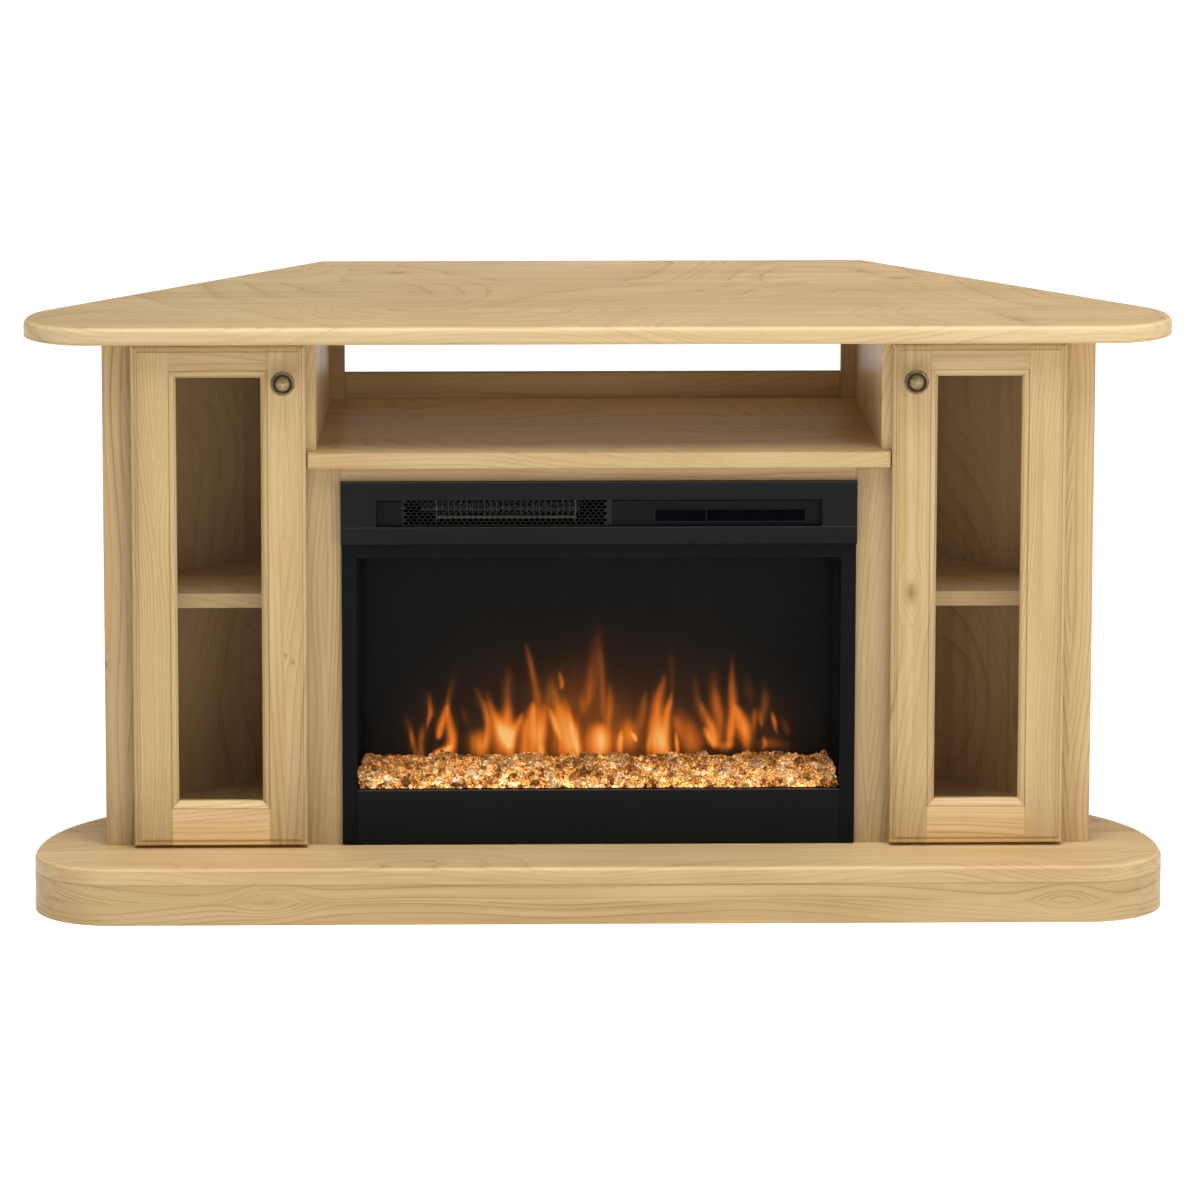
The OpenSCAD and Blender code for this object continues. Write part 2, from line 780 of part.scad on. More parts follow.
module hinge_cup(z) {
    difference() {
        union() {
            intersection() {
                cup_solid(z, 0, cup_depth);
                block(0, body_x, door_front_y, door_back_y, z - cup_d, z + cup_d);
            }
            // plate on the door's back
            block(cup_x - cup_d / 2 + 1, pivot_x + 3, door_back_y, door_back_y + flange_t,
                z - flange_half_h, z + flange_half_h);
        }
        translate([cup_x, door_back_y + flange_t + 1, z]) rotate([90, 0, 0])
            cylinder(h = cup_depth + flange_t + 1 - cup_wall, r = cup_d / 2 - cup_wall,
                $fn = round_fn);
        block(pivot_x - 10, pivot_x + pocket_out + 1, door_back_y - cup_depth + cup_wall,
            door_back_y + flange_t + 1, z - ear_in, z + ear_in);
        block(pivot_x - 10, pivot_x + pocket_out - 0.8, door_back_y - cup_depth + cup_wall,
            door_back_y + flange_t + 1, z - ear_in, z + ear_in);
        for (s = [-1, 1])
            translate([cup_x, door_back_y - 1, z + s * 24]) rotate([-90, 0, 0])
                cylinder(h = flange_t + 2, r = 2.2, $fn = round_fn);
    }
    // ears and the pin between them
    for (s = [-1, 1])
        block(pivot_x - 3, pivot_x + pocket_out, door_back_y - cup_depth + cup_wall,
            pivot_y + 3, z + s * (ear_in + pocket_half_h) / 2 - (pocket_half_h - ear_in) / 2,
            z + s * (ear_in + pocket_half_h) / 2 + (pocket_half_h - ear_in) / 2);
    translate([pivot_x, pivot_y, z - pocket_half_h + 0.5])
        cylinder(h = 2 * pocket_half_h - 1, r = hinge_pin_d / 2, $fn = round_fn);
}
flange_half_h = 29;
module hinge_cups() {
    color(zinc) for (z = hinge_zs) hinge_cup(z);
}

// an arm: knuckle on the pin, run inboard in the cup, leg along the face stile's edge
module hinge_arm(z) {
    leg_x = pivot_x - arm_run;
    difference() {
        union() {
            translate([pivot_x, pivot_y, z - arm_h / 2])
                cylinder(h = arm_h, r = knuckle_r, $fn = round_fn);
            block(leg_x - arm_t / 2, pivot_x, pivot_y - arm_t / 2, pivot_y + arm_t / 2,
                z - arm_h / 2, z + arm_h / 2);
            block(leg_x - arm_t / 2, leg_x + arm_t / 2, pivot_y - arm_t / 2, arm_pad_y[1],
                z - arm_h / 2, z + arm_h / 2);
            block(leg_x - arm_t / 2, face_in_x, arm_pad_y[0], arm_pad_y[1], z - arm_h,
                z + arm_h);
        }
        translate([pivot_x, pivot_y, z - arm_h])
            cylinder(h = 2 * arm_h, r = hinge_pin_d / 2 + pin_clearance, $fn = round_fn);
        for (s = [-1, 1])
            rod_x(leg_x - arm_t, face_in_x + 1, (arm_pad_y[0] + arm_pad_y[1]) / 2,
                z + s * arm_h * 0.7, 1.8);
    }
}
module hinge_arms() {
    color(zinc) both() for (z = hinge_zs) hinge_arm(z);
}

module left_door_hinge_stile() { side(-1) door_hinge_stile(); }
module left_door_knob_stile() { side(-1) door_knob_stile(); }
module left_door_top_rail() { side(-1) door_top_rail(); }
module left_door_bottom_rail() { side(-1) door_bottom_rail(); }
module left_door_glass() { side(-1) door_glass(); }
module left_glazing_beads() { side(-1) glazing_beads(); }
module left_knob() { side(-1) knob(); }
module left_hinge_cups() { side(-1) hinge_cups(); }
module right_door_hinge_stile() { side(1) door_hinge_stile(); }
module right_door_knob_stile() { side(1) door_knob_stile(); }
module right_door_top_rail() { side(1) door_top_rail(); }
module right_door_bottom_rail() { side(1) door_bottom_rail(); }
module right_door_glass() { side(1) door_glass(); }
module right_glazing_beads() { side(1) glazing_beads(); }
module right_knob() { side(1) knob(); }
module right_hinge_cups() { side(1) hinge_cups(); }

// ---------------------------------------------------------------- firebox shell

module firebox_casing() {
    x = casing_w / 2;
    t = sheet_t;
    z1 = base_z + casing_h;
    color(black_steel) at_face() difference() {
        block(-x, x, 0, firebox_depth, base_z, z1);
        // flame chamber and the compartment over it, both open to the front
        block(-x + t, x - t, -1, firebox_depth - t, base_z + t, deck_z - t);
        block(-x + t, x - t, -1, firebox_depth - t, deck_z, z1 - t);
        // inlet for the supply cord, behind the cable hole
        translate([0, firebox_depth - t - 1, base_z + cable_up])
            rotate([-90, 0, 0])
                cylinder(h = t + 2, r = 9, $fn = round_fn);
    }
}

module trim_side_stiles() {
    x = trim_w / 2;
    color(black_steel) both()
        block(x - trim_side_w, x, -trim_out, 0, fire_z, vent_z);
}

module trim_top_strip() {
    x = trim_w / 2 - trim_side_w;
    color(black_steel) at_face() block(-x, x, -trim_out, 0, glass_z1, vent_z);
}

// the bottom panel lies a hair behind the side pieces
module trim_bottom_panel() {
    x = trim_w / 2 - trim_side_w;
    color(black_steel) at_face() block(-x, x, 0.6 - trim_out, 0, fire_z, glass_z0);
}

// a pressed hood: front face with a slot, and returns all round
module vent_panel() {
    x = vent_w / 2;
    t = sheet_t;
    color(black_steel) at_face() difference() {
        block(-x, x, -vent_out, 0, vent_z, fire_top_z);
        block(-x + t, x - t, -vent_out + t, 1, vent_z + t, fire_top_z - t);
        block(-slot_w / 2, slot_w / 2, -vent_out - 1, -vent_out + t + 1,
            slot_z, slot_z + slot_h);
    }
}

mesh_x0 = mesh_in - slot_w / 2;
plate_lap = 4;

// a pressed tray behind the slot: its rim meets the hood, its floor is cut for the mesh
module control_plate() {
    x = slot_w / 2 + plate_lap;
    z0 = slot_z - plate_lap;
    z1 = slot_z + slot_h + plate_lap;
    rim = 1.5;
    color(black_steel) at_face() difference() {
        block(-x, x, -vent_out + sheet_t, 0, z0, z1);
        block(-x + rim, x - rim, -vent_out, -plate_t, z0 + rim, z1 - rim);
        block(mesh_x0, mesh_x0 + mesh_w, -plate_t - 1, 1, slot_z, slot_z + slot_h);
    }
}

// a six-sided hole, wider than it is high
module mesh_hole() {
    x = (mesh_pitch - mesh_bar) / 2;
    top = mesh_row * 2 / 3 - mesh_bar * 0.58;
    side = mesh_row / 3 - mesh_bar * 0.2;
    polygon([[0, top], [-x, side], [-x, -side], [0, -top], [x, -side], [x, side]]);
}

// sheet with staggered six-sided holes
module vent_mesh() {
    cols = floor(mesh_w / mesh_pitch) - 1;
    rows = floor((slot_h - 2) / mesh_row);
    color(black_steel) at_face()
        translate([mesh_x0, -plate_t, slot_z]) rotate([90, 0, 0]) mirror([0, 0, 1])
            linear_extrude(mesh_t)
                difference() {
                    square([mesh_w, slot_h]);
                    for (j = [0:rows - 1], i = [0:cols - 1])
                        translate([mesh_pitch * (i + 0.75 + 0.5 * (j % 2)),
                            mesh_row * (j + 0.5) + (slot_h - rows * mesh_row) / 2])
                            mesh_hole();
                }
}

// two dark windows on the control plate
window_up = 4.7;
window_h = 16.9;
window_x = [[71.6, 136.8], [139.8, 266.6]];
module control_windows() {
    color("#08090c") at_face()
        for (w = window_x)
            block(w[0], w[1], -plate_t - 1.5, -plate_t, slot_z + window_up,
                slot_z + window_up + window_h);
}

module front_glass() {
    color(smoked) at_face()
        block(-glass_half, glass_half, 0, fire_glass_t, glass_z0 - glass_lap,
            glass_z1 + glass_lap);
}

// ---------------------------------------------------------------- flame picture

module flame_screen() {
    x = casing_w / 2 - sheet_t;
    color(smoked) at_face()
        block(-x, x, screen_y, screen_y + screen_t, tray_z, deck_z - sheet_t);
}

module ember_tray() {
    x = casing_w / 2 - sheet_t;
    lip = tray_lip;
    color(black_steel) at_face() difference() {
        block(-x, x, fire_glass_t + 1, screen_y, tray_z, tray_z + lip);
        block(-x + tray_t, x - tray_t, fire_glass_t + 1 + tray_t, screen_y - tray_t,
            tray_z + tray_t, tray_z + lip + 1);
    }
}

// a heap of clear nuggets: a rising bed with rows of cut crystals on it
crystal_rows = 3;
crystal_cols = 25;
crystal_r = 9;
bed_front_h = 8;
bed_back_h = 34;
bed_x = casing_w / 2 - sheet_t - tray_t - 2;
module ember_bed() {
    y0 = fire_glass_t + 1 + tray_t + 0.5;
    y1 = screen_y - tray_t - 0.5;
    z0 = tray_z + tray_t;
    step = 2 * (bed_x - crystal_r) / crystal_cols;
    row = (y1 - y0 - 2 * crystal_r) / crystal_rows;
    turn = rands(0, 360, 3 * crystal_rows * crystal_cols, 11);
    color(amber) at_face() {
        translate([-bed_x, 0, 0]) rotate([90, 0, 90]) linear_extrude(2 * bed_x)
            polygon([[y0, z0], [y1, z0], [y1, z0 + bed_back_h], [y0, z0 + bed_front_h]]);
        for (j = [0:crystal_rows - 1], i = [0:crystal_cols - 1]) {
            k = 3 * (j * crystal_cols + i);
            y = y0 + crystal_r + row * (j + 0.5);
            rise = (bed_back_h - bed_front_h) * (y - y0) / (y1 - y0);
            translate([-bed_x + crystal_r + step * (i + 0.5), y, z0 + bed_front_h + rise])
                rotate([turn[k], turn[k + 1], turn[k + 2]])
                    cylinder(h = crystal_r * 1.3, r = crystal_r * 0.8, $fn = 5, center = true);
        }
    }
}

// a long shaft with rows of bent reflecting blades
module flicker_rotor() {
    x0 = -rotor_end_x + 4;
    x1 = rotor_end_x - 4;
    blades_x = rotor_end_x - rotor_end_in;
    step = 2 * blades_x / rotor_rows;
    color(zinc) at_face() {
        rod_x(x0, x1, rotor_y, rotor_z, rotor_shaft_r);
        for (i = [0:rotor_rows - 1])
            translate([-blades_x + step * (i + 0.5), rotor_y, rotor_z])
                rotate([60 * i, 0, 0])
                    for (a = [0, 180])
                        rotate([a, 0, 0])
                            rotate([0, 12, 0])
                                translate([-step * 0.32, -0.4, 1])
                                    cube([step * 0.64, 0.8, rotor_r - 2]);
    }
}

// a motor at the right end and a bearing bracket at the left end, on the casing's floor
module rotor_motor() {
    r = rotor_shaft_r + shaft_clearance;
    z0 = base_z + sheet_t;
    color(black_steel) at_face() difference() {
        union() {
            block(-rotor_end_x - 4, -rotor_end_x + 10, rotor_y - 10, rotor_y + 10, z0,
                rotor_z + 10);
            rod_x(rotor_end_x - 10, rotor_end_x + rotor_motor_r, rotor_y, rotor_z,
                rotor_motor_r);
            block(rotor_end_x - 6, rotor_end_x + 12, rotor_y - 14, rotor_y + 14, z0, rotor_z);
        }
        rod_x(-rotor_end_x, rotor_end_x, rotor_y, rotor_z, r);
    }
}

// ---------------------------------------------------------------- heater and blower

heater_x = [-209, -30];
heater_y = [14, 44];
module heater_element() {
    t = 1.6;
    fins = 22;
    z0 = deck_z;
    z1 = slot_z + slot_h - 3;
    mid = z0 + (z1 - z0) * 0.55;
    color(zinc) at_face() {
        for (x = heater_x) block(x - t / 2, x + t / 2, heater_y[0], heater_y[1], z0, z1);
        block(heater_x[0], heater_x[1], heater_y[0], heater_y[1], mid, mid + 3);
        block(heater_x[0], heater_x[1], heater_y[0], heater_y[1], z1 - 2, z1);
        for (i = [1:fins])
            translate([heater_x[0] + (heater_x[1] - heater_x[0]) * i / (fins + 1) - 0.3,
                heater_y[0] + 3, mid])
                cube([0.6, heater_y[1] - heater_y[0] - 6, z1 - mid]);
    }
}

wheel_x0 = -230;
module blower_wheel() {
    x1 = wheel_x0 + wheel_w;
    disc_t = 2;
    blade = 8;
    color(zinc) at_face() {
        rod_x(wheel_x0 - 12, x1 + 30, wheel_y, wheel_z, wheel_shaft_r);
        for (x = [wheel_x0, (wheel_x0 + x1 - disc_t) / 2, x1 - disc_t])
            rod_x(x, x + disc_t, wheel_y, wheel_z, wheel_r);
        translate([wheel_x0, wheel_y, wheel_z])
            for (i = [0:wheel_blades - 1])
                rotate([360 * i / wheel_blades, 0, 0])
                    translate([0, wheel_r - 1, 0])
                        rotate([30, 0, 0])
                            translate([0, -blade, -0.5])
                                cube([wheel_w, blade, 1]);
    }
}

// a part-round shell behind the wheel, with bearing cheeks that stand on the deck
module blower_housing() {
    x0 = wheel_x0 - 4;
    x1 = wheel_x0 + wheel_w + 4;
    t = 2;
    color(black_steel) at_face() difference() {
        union() {
            difference() {
                rod_x(x0, x1, wheel_y, wheel_z, housing_r + t);
                rod_x(x0 - 1, x1 + 1, wheel_y, wheel_z, housing_r);
                // outlet towards the heater and inlet over the wheel
                block(x0 - 1, x1 + 1, wheel_y - 60, wheel_y, wheel_z - 18, wheel_z + 60);
            }
            for (x = [x0 - t, x1])
                block(x, x + t, wheel_y - housing_r, wheel_y + housing_r, deck_z,
                    wheel_z + wheel_r);
        }
        rod_x(x0 - 10, x1 + 10, wheel_y, wheel_z, wheel_shaft_r + shaft_clearance);
    }
}

module blower_motor() {
    x0 = wheel_x0 + wheel_w + 4 + 2;
    foot = 12;
    color(black_steel) at_face() difference() {
        union() {
            rod_x(x0, x0 + 40, wheel_y, wheel_z, 26);
            block(x0 + 6, x0 + 34, wheel_y - foot, wheel_y + foot, deck_z, wheel_z);
        }
        rod_x(x0 - 1, x0 + 28, wheel_y, wheel_z, wheel_shaft_r + shaft_clearance);
    }
}

// ---------------------------------------------------------------- drawing

top_board();
base_board();
plinth_front();
plinth_side_rails();
plinth_back_rail();
left_face_stile();
right_face_stile();
left_end_panel();
right_end_panel();
left_angled_panel();
right_angled_panel();
left_divider();
right_divider();
left_cabinet_floor();
right_cabinet_floor();
left_cabinet_shelf();
right_cabinet_shelf();
shelf_pins();
media_shelf();
corner_posts();
back_panel();
surround_left_stile();
surround_right_stile();
surround_top_rail();
top_brackets();
hinge_arms();
left_door_hinge_stile();
left_door_knob_stile();
left_door_top_rail();
left_door_bottom_rail();
left_door_glass();
left_glazing_beads();
left_knob();
left_hinge_cups();
right_door_hinge_stile();
right_door_knob_stile();
right_door_top_rail();
right_door_bottom_rail();
right_door_glass();
right_glazing_beads();
right_knob();
right_hinge_cups();
firebox_casing();
vent_panel();
vent_mesh();
control_plate();
control_windows();
trim_side_stiles();
trim_top_strip();
trim_bottom_panel();
front_glass();
flame_screen();
ember_tray();
ember_bed();
flicker_rotor();
rotor_motor();
heater_element();
blower_wheel();
blower_housing();
blower_motor();
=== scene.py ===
# %% [markdown]
# # A corner fireplace console in maple
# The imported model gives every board, door and firebox part at its real size and place. This script
# dresses them: it makes a wood finish for each board, fills the ember tray with cut crystals, draws
# the flames, and sets a camera, a floor and studio light. It starts by loading the fixed frame.

# %% Load the frame
import math
import bpy
import numpy
from mathutils import Matrix, Vector


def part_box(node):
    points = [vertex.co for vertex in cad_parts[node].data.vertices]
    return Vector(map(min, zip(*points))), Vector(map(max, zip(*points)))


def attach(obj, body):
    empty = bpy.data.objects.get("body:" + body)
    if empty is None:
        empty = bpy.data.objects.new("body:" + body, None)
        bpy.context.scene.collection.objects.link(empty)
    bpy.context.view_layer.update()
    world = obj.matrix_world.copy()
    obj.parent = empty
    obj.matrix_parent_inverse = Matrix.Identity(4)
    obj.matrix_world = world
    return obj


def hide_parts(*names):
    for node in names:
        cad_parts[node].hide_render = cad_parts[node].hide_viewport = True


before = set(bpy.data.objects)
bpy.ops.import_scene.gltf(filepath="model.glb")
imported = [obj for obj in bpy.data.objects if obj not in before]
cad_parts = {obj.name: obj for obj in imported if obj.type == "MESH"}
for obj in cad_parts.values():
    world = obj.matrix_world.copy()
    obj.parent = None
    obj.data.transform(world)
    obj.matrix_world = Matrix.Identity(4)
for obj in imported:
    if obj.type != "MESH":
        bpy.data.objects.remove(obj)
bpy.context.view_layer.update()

# The cabinet's face is the plane from which its plan is measured, in metres.
FACE_Y = -0.1565

# %% [markdown]
# ## A small helper for node trees
# Node trees are easier to read when each node is one call. This helper adds a node, sets what is
# constant and links what is a socket. Sums and products take as many terms as they are given, and
# a plain number stands for a grey.

# %% Node helper
def rgba(colour):
    """Four numbers for a colour or a grey. A socket stays as it is."""
    if isinstance(colour, (int, float)):
        colour = (colour,) * 3
    return (*colour, 1) if isinstance(colour, tuple) else colour


class Nodes:
    def __init__(self, tree):
        self.tree = tree

    def add(self, kind, inputs=None, **settings):
        node = self.tree.nodes.new(kind)
        for key, value in settings.items():
            setattr(node, key, value)
        self.feed(node, inputs or {})
        return node

    def feed(self, node, inputs):
        for key, value in inputs.items():
            self.put(node.inputs[key], value)

    def put(self, socket, value):
        if isinstance(value, bpy.types.NodeSocket):
            self.tree.links.new(value, socket)
        elif value is not None:
            socket.default_value = value

    def math(self, operation, *values):
        node = self.add("ShaderNodeMath", dict(enumerate(values)), operation=operation)
        return node.outputs[0]

    def plus(self, first, *others):
        for value in others:
            first = self.math("ADD", first, value)
        return first

    def times(self, first, *others):
        for value in others:
            first = self.math("MULTIPLY", first, value)
        return first

    def minus(self, a, b):
        return self.math("SUBTRACT", a, b)

    def size(self, value):
        return self.math("ABSOLUTE", value)

    def span(self, value, low, high, to_low=0.0, to_high=1.0):
        node = self.add("ShaderNodeMapRange", {"Value": value, "From Min": low, "From Max": high,
                                               "To Min": to_low, "To Max": to_high})
        return node.outputs[0]

    def point(self):
        return self.add("ShaderNodeTexCoord").outputs["Object"]

    def parts(self, vector):
        return self.add("ShaderNodeSeparateXYZ", {0: vector}).outputs[:3]

    def joined(self, x, y, z=0.0):
        return self.add("ShaderNodeCombineXYZ", {0: x, 1: y, 2: z}).outputs[0]

    def colour_parts(self, colour):
        return self.add("ShaderNodeSeparateColor", {0: colour}).outputs[:3]

    def vector(self, operation, a, b):
        return self.add("ShaderNodeVectorMath", {0: a, 1: b}, operation=operation).outputs[0]

    def scaled(self, vector, factors):
        return self.vector("MULTIPLY", vector, factors)

    def length(self, vector):
        return self.add("ShaderNodeVectorMath", {0: vector}, operation="LENGTH").outputs["Value"]

    def noise(self, vector, scale, detail=2.0, rough=0.5):
        """Soft noise. Three numbers as scale stretch it along the axes."""
        if isinstance(scale, tuple):
            vector, scale = self.scaled(vector, scale), 1.0
        node = self.add("ShaderNodeTexNoise", {"Vector": vector, "Scale": scale, "Detail": detail,
                                               "Roughness": rough})
        return node.outputs["Fac"]

    def cells(self, vector, scale):
        """Random cells: three random numbers for each, and the distance from its middle."""
        node = self.add("ShaderNodeTexVoronoi", {"Vector": vector, "Scale": scale})
        return self.colour_parts(node.outputs["Color"]), node.outputs["Distance"]

    def mix(self, factor, a, b, blend="MIX"):
        node = self.add("ShaderNodeMix", data_type="RGBA", blend_type=blend)
        self.feed(node, {0: factor, 6: rgba(a), 7: rgba(b)})
        return node.outputs[2]

    def tinted(self, colour, *others):
        for other in others:
            colour = self.mix(1.0, colour, other, "MULTIPLY")
        return colour

    def ramp(self, factor, stops):
        node = self.add("ShaderNodeValToRGB", {"Fac": factor})
        ramp = node.color_ramp
        while len(ramp.elements) < len(stops):
            ramp.elements.new(0.5)
        for element, (place, colour) in zip(ramp.elements, stops):
            element.position = place
            element.color = rgba(colour)
        return node.outputs["Color"]

    def relief(self, edge, strength, distance, height):
        """A normal that rounds the light on edges and carries fine relief."""
        rounded = self.add("ShaderNodeBevel", {"Radius": edge}, samples=4).outputs[0]
        return self.add("ShaderNodeBump", {"Strength": strength, "Distance": distance,
                                           "Height": height, "Normal": rounded}).outputs[0]


def new_material(name):
    material = bpy.data.materials.new(name)
    material.use_nodes = True
    nodes = Nodes(material.node_tree)
    return material, nodes, material.node_tree.nodes["Principled BSDF"]


def dress(material, *node_names):
    for node_name in node_names:
        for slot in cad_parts[node_name].material_slots:
            slot.material = material


def add_sockets(tree, in_out, rows):
    for name, kind, value in rows:
        socket = tree.interface.new_socket(name, in_out=in_out, socket_type="NodeSocket" + kind)
        if value is not None:
            socket.default_value = value


def link_object(name, data):
    thing = bpy.data.objects.new(name, data)
    bpy.context.scene.collection.objects.link(thing)
    return thing


print("helpers ready")

# %% [markdown]
# ## Camera
# The photograph was taken from far away with a long lens, a little left of the middle and looking
# down. A long lens keeps the uprights parallel, so no lens shift is needed. Its place and angles
# were fitted to the corners of the cabinet, and the script turns them into a matrix.

# %% Camera
def look_matrix(place, yaw, pitch, roll):
    yaw, pitch, roll = (math.radians(a) for a in (yaw, pitch, roll))
    ahead = Vector((math.sin(yaw) * math.cos(pitch), math.cos(yaw) * math.cos(pitch),
                    -math.sin(pitch)))
    right = Vector((math.cos(yaw), -math.sin(yaw), 0))
    up = right.cross(ahead)
    r = right * math.cos(roll) + up * math.sin(roll)
    u = up * math.cos(roll) - right * math.sin(roll)
    turn = Matrix((r, u, -ahead)).transposed().to_4x4()
    return Matrix.Translation(place) @ turn


camera_data = bpy.data.cameras.new("photo_camera")
camera_data.lens = 258
camera_data.sensor_width = 36
camera_data.clip_end = 80
camera = link_object("photo_camera", camera_data)
camera.matrix_world = look_matrix((-0.24773, -10.98717, 2.78105), 1.3188, 12.4064, 0.0974)
bpy.context.scene.camera = camera
print("camera at", tuple(round(c, 3) for c in camera.location))

# %% [markdown]
# ## Studio
# A plain white floor runs under the console. The world is a soft grey-white that turns full white
# just over the horizon, where low views look past the floor. A very large soft light hangs almost
# overhead, so the top is as bright as the fronts and everything that stands out has a short soft
# shadow below it. A weaker one on the right keeps that side a little brighter. The floor glows a
# little itself, more so far from the console, so that it stays white.

# %% Studio
def soft_light(name, place, aim, size, watts):
    data = bpy.data.lights.new(name, "AREA")
    data.shape = "RECTANGLE"
    data.size, data.size_y = size
    data.energy = watts
    lamp = link_object(name, data)
    lamp.location = place
    lamp.rotation_euler = (Vector(aim) - Vector(place)).to_track_quat("-Z", "Y").to_euler()


world = bpy.data.worlds.new("studio_white")
bpy.context.scene.world = world
world.use_nodes = True
n = Nodes(world.node_tree)
upward = n.parts(n.add("ShaderNodeTexCoord").outputs["Generated"])[2]
n.feed(world.node_tree.nodes["Background"], {
    "Color": (1, 1, 1, 1), "Strength": n.span(upward, 0.03, 0.07, 1.0, 0.38)})
soft_light("overhead_light", (0.3, -1.2, 4.2), (0, 0, 0.5), (3.2, 2.0), 150)
soft_light("right_light", (3.8, -4.6, 2.2), (0, 0, 0.4), (2.4, 2.4), 55)

FLOOR_HALF = 30
floor_mesh = bpy.data.meshes.new("studio_floor")
floor_mesh.from_pydata([(x * FLOOR_HALF, y * FLOOR_HALF, 0)
                        for x, y in ((-1, -1), (1, -1), (1, 1), (-1, 1))], [], [(0, 1, 2, 3)])
floor = link_object("studio_floor", floor_mesh)
paper, n, shader = new_material("white_paper")
n.feed(shader, {
    "Base Color": rgba(0.8), "Roughness": 1.0, "Specular IOR Level": 0.0, "Emission Color": rgba(1),
    "Emission Strength": n.span(n.length(n.point()), 1.2, 4.0, 0.56, 0.76)})
floor.data.materials.append(paper)
bpy.context.scene.view_settings.view_transform = "Standard"
bpy.context.scene.view_settings.look = "None"
print("studio ready")

# %% [markdown]
# ## Maple
# Maple is pale, with thin brown growth lines, fine fibres and short flecks. The lines are cuts
# through rings round a far off pith, so the pattern is made the same way: the distance from a
# wavy axis that lies behind the board, cut into thin rings. Flat boards then get arches and
# quarter boards get straight lines without drawing either. A knot pushes the rings aside and is
# dark in its middle. One node group holds the wood. It takes board coordinates, with the grain
# along X, and wide panels are parted into glued strips, each with its own luck.

